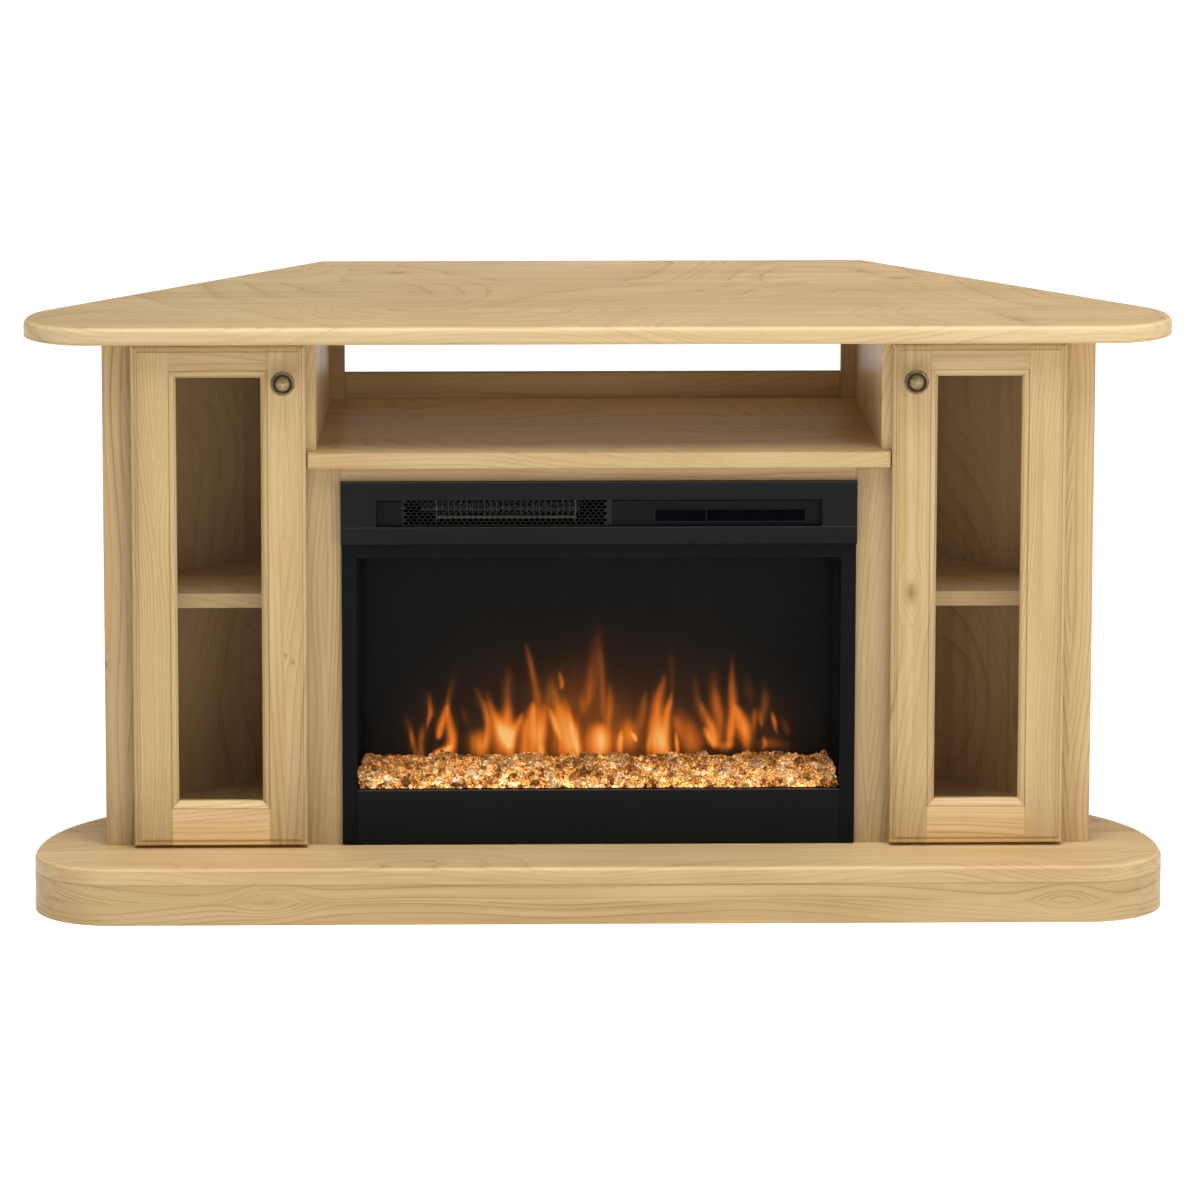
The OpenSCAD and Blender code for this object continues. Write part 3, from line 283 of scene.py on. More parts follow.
# %% Maple group
def maple_group():
    tree = bpy.data.node_groups.new("maple_wood", "ShaderNodeTree")
    add_sockets(tree, "INPUT", (
        ("Board Point", "Vector", None), ("Seed", "Float", 0.0), ("Strip Width", "Float", 0.1),
        ("Pith Depth", "Float", 0.06), ("Pith Side", "Float", 0.0), ("Line Strength", "Float", 0.5),
        ("Knot A", "Vector", None), ("Knot B", "Vector", None), ("Knot Radius", "Float", 0.0001),
        ("Rings Per Metre", "Float", 170.0), ("Knot Dark", "Float", 0.62)))
    add_sockets(tree, "OUTPUT", (
        ("Color", "Color", None), ("Height", "Float", None), ("Gloss", "Float", None)))
    n = Nodes(tree)
    given = n.add("NodeGroupInput").outputs
    u, v, w = n.parts(given["Board Point"])

    # which glued strip this is, and its own random numbers
    strip = n.math("FLOOR", n.math("DIVIDE", v, given["Strip Width"]))
    luck = n.add("ShaderNodeTexWhiteNoise", {"Vector": n.joined(strip, given["Seed"], 0.37)},
                 noise_dimensions="3D")
    pick = n.colour_parts(luck.outputs["Color"])
    middle = n.times(n.plus(strip, 0.5), given["Strip Width"])
    place = n.joined(n.plus(u, n.times(pick[0], 7.0)), v,
                     n.plus(w, n.plus(n.times(pick[1], 3.0), given["Seed"])))

    def swing(value, reach):
        return n.times(n.minus(value, 0.5), reach)

    # the wavy pith behind the board
    sway = n.noise(place, (1.5, 3.0, 3.0), 1.0, 0.4)
    dip = n.noise(n.vector("ADD", n.scaled(place, (2.1, 2.0, 2.0)), (5.2, 1.3, 8.1)), 1.0, 1.0, 0.4)
    side = n.plus(n.minus(n.minus(v, middle), given["Pith Side"]),
                  n.plus(swing(sway, 0.16), swing(pick[2], 0.10)))
    depth = n.plus(w, given["Pith Depth"], swing(dip, 0.20))
    far = n.math("SQRT", n.plus(n.times(side, side), n.times(depth, depth)))
    # knots push the rings aside
    dark = 0.0
    for knot in ("Knot A", "Knot B"):
        away = n.scaled(n.vector("SUBTRACT", given["Board Point"], given[knot]), (0.55, 1.0, 0.6))
        near = n.math("DIVIDE", n.length(away), given["Knot Radius"])
        square = n.times(near, near)
        bulge = n.math("EXPONENT", n.times(square, -0.22))
        far = n.plus(far, n.times(bulge, n.times(given["Knot Radius"], 2.4)))
        dark = n.plus(n.math("EXPONENT", n.times(square, -1.6)), dark)
    far = n.plus(far, swing(n.noise(place, (7.0, 45.0, 45.0)), 0.0042))
    # the distance from the pith, cut into rings with a sharp dark end
    pace = n.noise(n.joined(n.times(far, 30.0), given["Seed"]), 1.0, 1.0)
    turns = n.plus(n.times(far, given["Rings Per Metre"]), n.times(pace, 5.0))
    line = n.ramp(n.math("FRACT", turns), [
        (0.0, 0.12), (0.45, 0.0), (0.86, 0.35), (0.955, 1.0), (1.0, 0.12)])
    fade = n.noise(place, (2.2, 14.0, 14.0), 2.0, 0.55)
    line = n.times(line, n.span(fade, 0.30, 0.66, 0.22, 1.35), given["Line Strength"])

    # broad clouds, long streaks, growth lines, fine fibres, short flecks and knots
    cloud = n.noise(place, (3.2, 9.0, 9.0), 3.0, 0.55)
    streak = n.noise(place, (1.6, 60.0, 60.0))
    fibre = n.noise(place, (14.0, 900.0, 900.0), 2.0, 0.6)
    fleck = n.noise(place, (95.0, 800.0, 800.0), 1.0)
    colour = n.ramp(cloud, [(0.30, (0.524, 0.360, 0.174)), (0.50, (0.574, 0.409, 0.207)),
                            (0.72, (0.610, 0.450, 0.241))])
    for amount, brown in (
            (n.span(streak, 0.48, 0.76, 0.0, 0.62), (0.430, 0.275, 0.118)),
            (line, (0.300, 0.168, 0.064)),
            (n.span(fibre, 0.35, 0.75, 0.0, 0.30), (0.420, 0.270, 0.116)),
            (n.span(fleck, 0.63, 0.78, 0.0, 0.34), (0.320, 0.184, 0.068)),
            (n.times(dark, given["Knot Dark"]), (0.200, 0.100, 0.036))):
        colour = n.mix(amount, colour, brown)
    bright = n.span(pick[1], 0.0, 1.0, 0.97, 1.03)
    warm = n.times(bright, n.span(pick[2], 0.0, 1.0, 0.96, 1.03))
    n.add("NodeGroupOutput", {
        "Color": n.tinted(colour, n.joined(bright, bright, warm)),
        "Height": n.minus(n.times(fibre, 0.6), n.times(line, 0.8)),
        "Gloss": n.span(cloud, 0.3, 0.7, 0.36, 0.44)})
    return tree


MAPLE = maple_group()
print("maple group has", len(MAPLE.nodes), "nodes")

# %% [markdown]
# Each board then gets the same wood with its own seed, turned so that the grain runs along the
# board. The turn is a matrix with the grain as its first row, the width as its second and the
# thickness as its third, which a Mapping node takes as angles. The eased edges that a sander
# leaves come from a Bevel node, which rounds the light on an edge and leaves the mesh alone.
# Shades lighten or darken a board along one axis. Most are painted light and shade, where a rounded
# edge catches the light or a board stands in another's shade, and a few mark a dark joint. Shade
# lines are thin lines of painted shade round a rectangle, where mouldings meet.

# %% Maple finish
NO_KNOT = (9, 9, 9)  # a place far outside every board
# lines of painted shade: a dark core with a soft reach on each side
SHADE_LINE_CORE, SHADE_LINE_REACH = 0.0002, 0.0010
SHADE_LINE_BROWN = (0.150, 0.085, 0.035)


def maple_board(name, along, across, seed, strip=5.0, pith=0.06, side=0.0, lines=0.5, rings=170,
                centre=(0, 0, 0), knots=(NO_KNOT, NO_KNOT), knot_radius=0.0001, knot_dark=0.62,
                ease=0.0012, tint=1.0, shades=(), shade_lines=()):
    material, n, shader = new_material(name)
    a, b = Vector(along).normalized(), Vector(across).normalized()
    turn = Matrix((a, b, a.cross(b)))
    point = n.point()
    turned = n.add("ShaderNodeMapping", {"Vector": point, "Rotation": turn.to_euler("XYZ"),
                                         "Location": -(turn @ Vector(centre))})
    knot_a, knot_b = (tuple(turn @ (Vector(knot) - Vector(centre))) for knot in knots)
    wood = n.add("ShaderNodeGroup", {
        "Board Point": turned.outputs[0], "Seed": seed, "Strip Width": strip, "Pith Depth": pith,
        "Pith Side": side, "Line Strength": lines, "Knot A": knot_a, "Knot B": knot_b,
        "Knot Radius": knot_radius, "Rings Per Metre": rings, "Knot Dark": knot_dark},
        node_tree=MAPLE)
    colour = n.tinted(wood.outputs["Color"], tint)
    where = n.parts(point)
    # painted light and shade along one axis, and a few dark joints
    for axis, low, high, stops in shades:
        colour = n.tinted(colour, n.ramp(n.span(where[axis], low, high), stops))
    # thin lines of painted shade round a rectangle
    for low, high, depth in shade_lines:
        out = [n.minus(n.size(n.minus(where[axis], (low[i] + high[i]) / 2)), (high[i] - low[i]) / 2)
               for i, axis in ((0, 0), (1, 2))]
        line = n.size(n.math("MAXIMUM", *out))
        colour = n.mix(n.span(line, SHADE_LINE_CORE, SHADE_LINE_REACH, depth, 0.0), colour, SHADE_LINE_BROWN)
    n.feed(shader, {
        "Base Color": colour, "Roughness": wood.outputs["Gloss"], "Specular IOR Level": 0.16,
        "IOR": 1.46, "Normal": n.relief(ease, 0.10, 0.0004, wood.outputs["Height"])})
    return material


print("wood finish ready")

# %% [markdown]
# The table gives each board its grain direction and its own wood. Rails and flat boards run across
# the console, and stiles and panels stand upright. The rounded upper edges of top and base get a
# painted highlight, so their shades rise towards the upper end. A tint lightens or darkens a whole
# board, partly for its own tone and partly as painted light: the boards inside the cupboards and the
# bay are painted lighter, and the right side of the console a little lighter than the left.

# %% Boards of the cabinet
X, Y, Z = (1, 0, 0), (0, 1, 0), (0, 0, 1)
FLAT, RAIL = dict(along=X, across=Y), dict(along=X, across=Z)
STILE, PANEL = dict(along=Z, across=X), dict(along=Z, across=Y)
top_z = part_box("top_board")[1][2]
# painted highlights on the rounded front edges of top and base; the base board is a little darker at
# its joint with the plinth
TOP_EDGE_HIGHLIGHT = ((0.0, 1.02), (0.12, (1.16, 1.24, 1.39)), (0.78, (1.18, 1.26, 1.42)),
            (0.86, (1.34, 1.43, 1.60)), (0.95, (1.22, 1.30, 1.45)), (1.0, 0.95))
BASE_HIGHLIGHT_AND_JOINT = ((0.0, 0.92), (0.1, 1.03), (0.8, 1.03), (0.9, 1.32), (1.0, 1.12))
boards = {
    "top_board": dict(
        FLAT, seed=3.1, strip=0.19, pith=0.10, lines=0.50, rings=110, centre=(0, -0.0595, 0),
        knots=((-0.26, 0.20, 0.76), (0.40, 0.15, 0.76)), knot_radius=0.010, ease=0.0008,
        # painted highlight on the front edge, and painted shade darkening the top towards its left
        # end
        shades=((2, top_z - 0.0200, top_z, TOP_EDGE_HIGHLIGHT), (0, -0.74, 0.10, ((0.0, 0.89), (1.0, 1.0))))),
    "base_board": dict(FLAT, seed=11.4, strip=0.19, pith=0.09, lines=0.50, rings=110, ease=0.0008,
                       shades=((2, 0.0530, 0.0745, BASE_HIGHLIGHT_AND_JOINT),)),
    "plinth_front": dict(
        RAIL, seed=20.6, pith=0.012, side=0.01, lines=1.0, rings=80, centre=(0, -0.28, 0.03),
        knots=((-0.424, -0.2865, 0.036), (0.60, -0.2865, 0.034)), knot_radius=0.012, knot_dark=0.0,
        shades=((2, 0.0505, 0.0530, ((0.0, 0.98), (0.5, 0.93), (1.0, 0.62))),
                # painted shade: the apron a little darker towards its left end
                (0, -0.70, -0.20, ((0.0, 0.96), (1.0, 1.0))))),
    "plinth_side_rails": dict(along=Y, across=Z, seed=22.2, pith=0.03, lines=0.6),
    "plinth_back_rail": dict(RAIL, seed=23.9, pith=0.05),
    "left_face_stile": dict(
        STILE, seed=31.0, pith=0.05, side=0.03, lines=0.9, rings=110, centre=(-0.61, FACE_Y, 0.4),
        knots=((-0.6365, FACE_Y, 0.315), NO_KNOT), knot_radius=0.0035, tint=0.93,
        # painted shade: darker towards the door beside it
        shades=((0, -0.637, -0.598, ((0.0, 1.0), (0.45, 1.0), (0.75, 0.86), (1.0, 0.82))),)),
    # the lighter tint is partly painted light: the right side of the console is a little brighter
    "right_face_stile": dict(STILE, seed=32.3, pith=0.05, side=-0.10, lines=0.85, rings=120,
                             tint=1.12, centre=(0.61, FACE_Y, 0.4)),
    # the right divider's tint is partly painted light
    "left_divider": dict(PANEL, seed=37.2, strip=0.1, pith=0.09),
    "right_divider": dict(PANEL, seed=38.9, strip=0.1, pith=0.09, tint=1.2),
    # the shelves' tints are partly painted light inside the cupboards
    "left_cabinet_shelf": dict(FLAT, seed=41.1, strip=0.1, pith=0.08, tint=1.31),
    "right_cabinet_shelf": dict(FLAT, seed=42.7, strip=0.1, pith=0.08, tint=1.33),
    "media_shelf": dict(FLAT, seed=43.3, strip=0.16, pith=0.10, lines=0.6),
    "corner_posts": dict(STILE, seed=44.9, pith=0.08),
    "back_panel": dict(RAIL, seed=45.2, strip=0.3, pith=0.10, lines=0.38, rings=90, tint=1.10,
                       # a rectangle of painted shade lines, seen along the panel's upper edge
                       shade_lines=(((-0.3285, 0.45), (0.3285, 0.6263), 0.92),)),
    "surround_left_stile": dict(STILE, seed=46.6, pith=0.05, side=0.10, lines=0.8, rings=130,
                                tint=0.87, centre=(-0.35, FACE_Y, 0.3)),
    "surround_right_stile": dict(STILE, seed=47.8, pith=0.05, side=-0.09, lines=0.8, rings=130,
                                 tint=0.84, centre=(0.35, FACE_Y, 0.3)),
    "surround_top_rail": dict(RAIL, seed=48.3, pith=0.04, lines=0.7, centre=(0, FACE_Y, 0.56)),
}
for side, end_seed, angled_seed, slant, floor_seed in (
        ("left", 33.7, 35.4, (1, 1, 0), 39.5), ("right", 34.1, 36.8, (-1, 1, 0), 40.5)):
    boards[side + "_end_panel"] = dict(PANEL, seed=end_seed, strip=0.11, pith=0.12, lines=0.42,
                                       rings=110)
    # the tints of angled panels and cabinet floors are partly painted light inside the cupboards
    boards[side + "_angled_panel"] = dict(along=Z, across=slant, seed=angled_seed, strip=0.12,
                                          pith=0.09, lines=0.45, rings=110, tint=1.28)
    boards[side + "_cabinet_floor"] = dict(along=Y, across=X, seed=floor_seed, strip=0.1, tint=1.15)
print(len(boards), "boards of the cabinet")

# %% [markdown]
# A door is two stiles and two rails with mouldings round the glass and along the outer edge. Thin
# lines of painted shade run round the whole frame where the mouldings meet, so all four pieces of a
# door share the same lines. The lower end of the frame gets a painted highlight for the light it
# catches from the base board. The tints are partly each board's own tone and partly painted light:
# the bottom rails are painted much lighter, and the right door a little lighter.

# %% Boards of the doors
# tints partly painted light: bottom rails much lighter, the right door a little lighter
DOOR_TINTS = {"left": (0.97, 1.03, 1.0, 1.38), "right": (1.09, 1.05, 1.04, 1.36)}
INNER_SHADE_LINES = ((0.0093, 0.48), (0.0024, 0.28))  # distance from the glass opening, and depth
for side, sign in (("left", -1), ("right", 1)):
    hinge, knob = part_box(side + "_door_hinge_stile"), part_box(side + "_door_knob_stile")
    under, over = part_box(side + "_door_bottom_rail"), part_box(side + "_door_top_rail")
    x0, x1 = min(hinge[0][0], knob[0][0]), max(hinge[1][0], knob[1][0])
    glass_x0, glass_x1 = min(hinge[1][0], knob[1][0]), max(hinge[0][0], knob[0][0])
    z0, z1 = hinge[0][2], hinge[1][2]
    # lines of painted shade where the mouldings meet
    shade_lines = [((glass_x0 - d, under[1][2] - d), (glass_x1 + d, over[0][2] + d), depth)
               for d, depth in INNER_SHADE_LINES]
    shade_lines.append(((x0 + 0.0050, z0 + 0.0068), (x1 - 0.0050, z1 + 0.01), 0.50))
    # painted highlight on the lower end of the frame
    lower_end_highlight = ((2, z0, z0 + 0.008, ((0.0, 1.32), (0.55, 1.28), (0.8, 1.0))),)
    pieces = {
        "hinge_stile": dict(STILE, seed=51.0 + sign, pith=0.04, side=0.13 * sign, lines=0.70,
                            rings=210, centre=(sign * 0.571, FACE_Y, 0.4)),
        "knob_stile": dict(STILE, seed=55.0 + sign, pith=0.03, side=0.02 * sign, lines=0.66,
                           rings=95, centre=(sign * 0.405, FACE_Y, 0.4)),
        "top_rail": dict(RAIL, seed=59.0 + sign, pith=0.05, lines=0.8, rings=110,
                         centre=(sign * 0.488, FACE_Y, 0.715)),
        "bottom_rail": dict(RAIL, seed=63.0 + sign, pith=0.04, lines=0.6, rings=110,
                            centre=(sign * 0.488, FACE_Y, 0.11)),
    }
    for (piece, wood), tint in zip(pieces.items(), DOOR_TINTS[side]):
        boards[f"{side}_door_{piece}"] = dict(wood, tint=tint, shade_lines=shade_lines, shades=lower_end_highlight)
    boards[side + "_glazing_beads"] = dict(STILE, seed=67.0 + sign, lines=0.3)
boards["right_door_knob_stile"].update(
    knots=((0.402, -0.178, 0.411), NO_KNOT), knot_radius=0.009, knot_dark=0.70)
boards["left_door_knob_stile"].update(
    knots=((-0.404, -0.178, 0.331), (-0.394, -0.178, 0.322)), knot_radius=0.0022)
for name, choice in boards.items():
    dress(maple_board("maple_" + name, **choice), name)
print(len(boards), "boards dressed")

# %% [markdown]
# ## Metals, glass and dark plastic
# The firebox is sheet steel with a satin black powder coat, which has a very fine grain. Thin
# painted highlights on its folded edges, a painted shadow under the slot's upper edge and a painted
# shade line along the hood's lower edge are bands of height. The glasses are thin panes, so they use
# a low alpha instead of refraction: light passes, the tint stays and nothing turns black behind
# them.

# %% Firebox finishes
def coated_steel(name, level, light_and_shade_bands=(), rough=0.42):
    material, n, shader = new_material(name)
    point = n.point()
    grain = n.noise(point, 1400.0, 2.0, 0.6)
    wide = n.noise(point, 9.0)
    colour = n.mix(n.span(wide, 0.3, 0.7), (level * 0.90, level * 0.93, level * 0.95),
                   (level * 1.08, level * 1.10, level * 1.12))
    height = n.parts(point)[2]
    # painted highlights and painted shade in bands of height
    for low, high, factor in light_and_shade_bands:
        inside = n.times(n.math("GREATER_THAN", height, low), n.math("LESS_THAN", height, high))
        grey = level * factor
        colour = n.mix(inside, colour, (grey, grey, grey * 1.06))
    n.feed(shader, {
        "Base Color": colour, "Roughness": n.span(wide, 0.3, 0.7, rough - 0.03, rough + 0.04),
        "Specular IOR Level": 0.06, "Normal": n.relief(0.0009, 0.06, 0.0002, grain)})
    return material


def pane(name, colour, alpha, rough=0.03):
    material, n, shader = new_material(name)
    smear = n.noise(n.point(), (6.0, 6.0, 2.0))
    n.feed(shader, {
        "Roughness": n.span(smear, 0.3, 0.7, rough, rough + 0.02), "Base Color": rgba(colour),
        "Alpha": alpha, "Specular IOR Level": 0.2})
    material.surface_render_method = "BLENDED"
    return material


dress(coated_steel("black_powder_coat", 0.0054), "trim_side_stiles", "trim_top_strip")
# painted highlight along the bottom panel's upper edge
dress(coated_steel("panel_powder_coat", 0.0082, ((0.1463, 0.1475, 4.5),)), "trim_bottom_panel")
# painted highlights on the hood's folded edges, and a painted shade line along its lower edge
dress(coated_steel("hood_powder_coat", 0.0112, (
    (0.5543, 0.5553, 2.2), (0.4957, 0.4967, 2.6), (0.4730, 0.4744, 0.3))), "vent_panel")
# painted shadow under the slot's upper edge, and a painted highlight below it
dress(coated_steel("plate_powder_coat", 0.0088, (
    (0.5283, 0.5370, 0.05), (0.4990, 0.4997, 2.4))), "control_plate")
dress(coated_steel("mesh_powder_coat", 0.0230), "vent_mesh")
dress(coated_steel("matt_chamber_black", 0.004, rough=0.7),
      "firebox_casing", "ember_tray", "rotor_motor", "blower_housing", "blower_motor")
dress(pane("fire_glass", (0.01, 0.01, 0.01), 0.04), "front_glass")
for name in ("left_door_glass", "right_door_glass"):
    dress(pane("door_glass_" + name, (0.08, 0.06, 0.035), 0.05), name)
print("firebox and panes dressed")

# %% [markdown]
# The windows in the slot are glossy black with a thin paler rim. The flame screen behind the front
# glass is smoked plastic, and at its two ends painted bands of shade and reflection stand for the
# folded sides of the chamber.

# %% Dark windows and flame screen
def dark_window(name):
    material, n, shader = new_material(name)
    point = n.point()
    colour = n.mix(n.noise(point, 40.0, 1.0), (0.0010, 0.0013, 0.0020), (0.0020, 0.0026, 0.0042))
    x, _, z = n.parts(point)
    (x0, _, z0), (x1, _, z1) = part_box("control_windows")
    for edge, part in ((x0, x), (x1, x), (z0, z), (z1, z)):
        rim = n.math("LESS_THAN", n.size(n.minus(part, edge)), 0.0007)
        colour = n.mix(rim, colour, (0.030, 0.029, 0.026))
    n.feed(shader, {"Base Color": colour, "Roughness": 0.10, "Specular IOR Level": 0.01})
    return material


def screen_finish(name):
    material, n, shader = new_material(name)
    point = n.point()
    veil = n.noise(point, (3.0, 1.0, 5.0))
    dull = n.mix(veil, (0.0042, 0.0046, 0.0036), (0.0062, 0.0066, 0.0052))
    # painted shade and reflection bands where the chamber's folded sides meet the screen
    side_shade_and_reflection = n.ramp(n.span(n.size(n.parts(point)[0]), 0.2930, 0.3130), [
        (0.0, 1.0), (0.06, 0.45), (0.10, 0.80), (0.42, 0.75), (0.46, 0.12), (0.70, 0.12),
        (0.75, 1.0)])
    n.feed(shader, {"Base Color": n.tinted(dull, side_shade_and_reflection), "Roughness": 0.45,
                    "Specular IOR Level": 0.05})
    return material


dress(dark_window("dark_touch_window"), "control_windows")
dress(screen_finish("smoked_screen"), "flame_screen")
print("windows and screen dressed")

# %% [markdown]
# Hinges and brackets are zinc plated. The knobs are darkened brass, lighter on the dome and along
# the rim: partly rubbed bright, partly a painted highlight. So the finish goes by the distance from
# a knob's axis.

# %% Zinc and brass
KNOB_RADIUS = 0.016


def plated_metal(name, colour, rough):
    material, n, shader = new_material(name)
    cloud = n.noise(n.point(), 60.0, 3.0, 0.6)
    n.feed(shader, {
        "Base Color": n.mix(cloud, tuple(c * 0.7 for c in colour), colour), "Metallic": 1.0,
        "Roughness": n.span(cloud, 0.3, 0.7, rough - 0.06, rough + 0.08)})
    return material


def aged_brass(name, centre_x, centre_z):
    material, n, shader = new_material(name)
    point = n.point()
    moved = n.add("ShaderNodeMapping", {"Vector": point, "Location": (-centre_x, 0, -centre_z)})
    reach = n.length(n.scaled(moved.outputs[0], (1, 0, 1)))
    # dome and rim lighter, partly rubbed wear and partly a painted highlight; the dark ring is
    # patina
    rubbed_and_highlit = n.ramp(n.math("DIVIDE", reach, KNOB_RADIUS), [
        (0.0, 1.0), (0.34, 0.85), (0.54, 0.42), (0.61, 0.05), (0.80, 0.16), (0.87, 0.80),
        (0.92, 0.70), (0.96, 0.10)])
    amount = n.times(rubbed_and_highlit, n.span(n.noise(point, 420.0, 3.0, 0.65), 0.35, 0.65, 0.35, 1.0))
    n.feed(shader, {
        "Base Color": n.mix(amount, (0.030, 0.021, 0.010), (0.46, 0.345, 0.175)),
        "Roughness": n.span(amount, 0.0, 1.0, 0.50, 0.22), "Metallic": 0.9})
    return material


dress(plated_metal("zinc_plate", (0.60, 0.60, 0.58), 0.35), "shelf_pins", "top_brackets",
      "hinge_arms", "left_hinge_cups", "right_hinge_cups", "flicker_rotor", "blower_wheel")
dress(plated_metal("dull_heater_steel", (0.22, 0.20, 0.16), 0.45), "heater_element")
for side in ("left", "right"):
    low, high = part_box(side + "_knob")
    dress(aged_brass("aged_brass_" + side, (low[0] + high[0]) / 2, (low[2] + high[2]) / 2),
          side + "_knob")
print("metals dressed")

# %% [markdown]
# ## Ember bed
# The tray holds a heap of broken clear glass, lit from below by amber lamps; here the stones glow
# themselves instead, a painted light. One crystal is a small faceted stone, and thousands of them
# lie on a rising bed, so Geometry Nodes scatter them: points on a hidden surface, one stone on each
# with its own turn and size. A random number stored on each face makes some facets flash with a
# painted glint and others stay dark. Fine grit makes the painted glitter, and a few larger nuggets
# lie on it.

# %% Bed surface
BED_HALF = 0.3085
BED_FRONT, BED_BACK = FACE_Y + 0.0085, FACE_Y + 0.090
BED_FOOT = 0.1455


def bed_height(x, t):
    """Height of the bed at x, where t goes from 0 at the glass to 1 at the screen."""
    rise = 0.1520 + 0.0185 * min(1.0, t * 1.3) ** 0.85
    wave = (0.0020 * math.sin(x * 61 + 1.0) + 0.0016 * math.sin(x * 113 + t * 5)
            + 0.0014 * math.sin(x * 190 + t * 9))
    edge = max(0.0, 1 - (BED_HALF - abs(x)) / 0.016)
    return rise + wave * min(1.0, 0.3 + t) - 0.022 * edge ** 2 * t


def grid_mesh(name, points, cols, rows):
    mesh = bpy.data.meshes.new(name)
    faces = [(c * rows + r, (c + 1) * rows + r, (c + 1) * rows + r + 1, c * rows + r + 1)
             for c in range(cols - 1) for r in range(rows - 1)]
    mesh.from_pydata(points, [], faces)
    return link_object(name, mesh)


COLS, ROWS, FRONT_ROWS = 121, 15, 3
bed_points = []
for c in range(COLS):
    x = BED_HALF * (2 * c / (COLS - 1) - 1)
    for r in range(FRONT_ROWS):
        z = BED_FOOT + (bed_height(x, 0) - BED_FOOT) * r / FRONT_ROWS
        bed_points.append((x, BED_FRONT, z))
    for r in range(ROWS - FRONT_ROWS):
        t = r / (ROWS - FRONT_ROWS - 1)
        bed_points.append((x, BED_FRONT + (BED_BACK - BED_FRONT) * t, bed_height(x, t)))
bed = grid_mesh("ember_bed_glass", bed_points, COLS, ROWS)
print("bed surface", len(bed.data.polygons), "faces")

# %% [markdown]
# Glass lit from below is brightest at its foot and amber towards the top; here that light is painted
# into the stones' own glow, which also dims at the tray's ends, in patches and towards each chunk's
# edge. Cells about as large as a nugget share one tone, so that whole chunks read as pale or dark,
# and much smaller cells make the painted glitter of broken edges. The brightest sparks are nearly
# white, because they stand for the lamps themselves seen through the glass.

# %% Crystal material
GLITTER = [(0.0, (0.58, 0.58, 0.54)), (0.55, (0.84, 0.83, 0.80)), (0.85, (1.12, 1.08, 1.14)),
           (1.0, (1.5, 1.45, 1.8))]
FLASH = [(0.0, (0.20, 0.19, 0.16)), (0.38, (0.39, 0.37, 0.32)), (0.66, (0.61, 0.58, 0.55)),
         (0.86, (0.90, 0.87, 0.98)), (1.0, (1.4, 1.37, 1.9))]
AMBER = [(0.10, (0.12, 0.034, 0.006)), (0.24, (0.50, 0.190, 0.034)), (0.48, (0.90, 0.42, 0.098)),
         (0.70, (0.98, 0.575, 0.200)), (0.88, (1.0, 0.82, 0.510))]
NUGGET = [(0.10, (0.09, 0.024, 0.006)), (0.38, (0.34, 0.115, 0.020)), (0.55, (0.70, 0.31, 0.065)),
          (0.72, (0.96, 0.60, 0.240)), (0.92, (1.0, 0.86, 0.650))]


def crystal_finish(name, body_stops, power):
    material, n, shader = new_material(name)
    tone, glint = (n.add("ShaderNodeAttribute", attribute_name=stored).outputs["Fac"]
                   for stored in ("tone", "glint"))
    point = n.point()
    x, _, z = n.parts(point)
    # painted light: brightest at the foot of the bed, dimmer at the tray's ends
    low = n.ramp(n.span(z, 0.145, 0.180), [(0.0, 1.0), (0.30, 0.80), (0.62, 0.46), (1.0, 0.28)])
    ends = n.span(n.size(x), 0.235, 0.305, 1.0, 0.50)
    patch = n.noise(point, (38.0, 30.0, 60.0))
    chunk, chunk_reach = n.cells(n.scaled(point, (1.0, 0.8, 1.1)), 92.0)
    glitter = n.ramp(n.cells(point, 900.0)[0][0], GLITTER)
    body = n.ramp(n.plus(n.times(tone, 0.38), n.times(chunk[0], 0.62)), body_stops)
    body = n.mix(n.span(z, 0.152, 0.176, 0.0, 0.60), body, (0.66, 0.25, 0.045))
    # the emission is painted light, dimmed in patches and towards each chunk's edge; flash and
    # glitter are painted glints
    n.feed(shader, {
        "Base Color": n.tinted(body, (0.12, 0.09, 0.05)),
        "Emission Color": n.tinted(body, n.ramp(glint, FLASH), glitter, low),
        "Emission Strength": n.times(ends, n.span(patch, 0.32, 0.68, 0.62, 1.25),
                                     n.span(chunk_reach, 0.42, 0.70, 1.0, 0.55), power),
        "Roughness": 0.15, "Specular IOR Level": 0.18})
    return material


grit_finish = crystal_finish("amber_grit", AMBER, 4.6)
nugget_finish = crystal_finish("amber_nugget", NUGGET, 2.9)
print("crystal finishes ready")

# %% [markdown]
# The scatter runs twice, once for grit and once for nuggets. Stones that would cross the front
# glass, or hang below the rim of the tray, are pressed flat there, as if they had come to rest.

# %% Crystal scatter
BEHIND_GLASS_Y, OVER_RIM_Z = FACE_Y + 0.0046, 0.1474


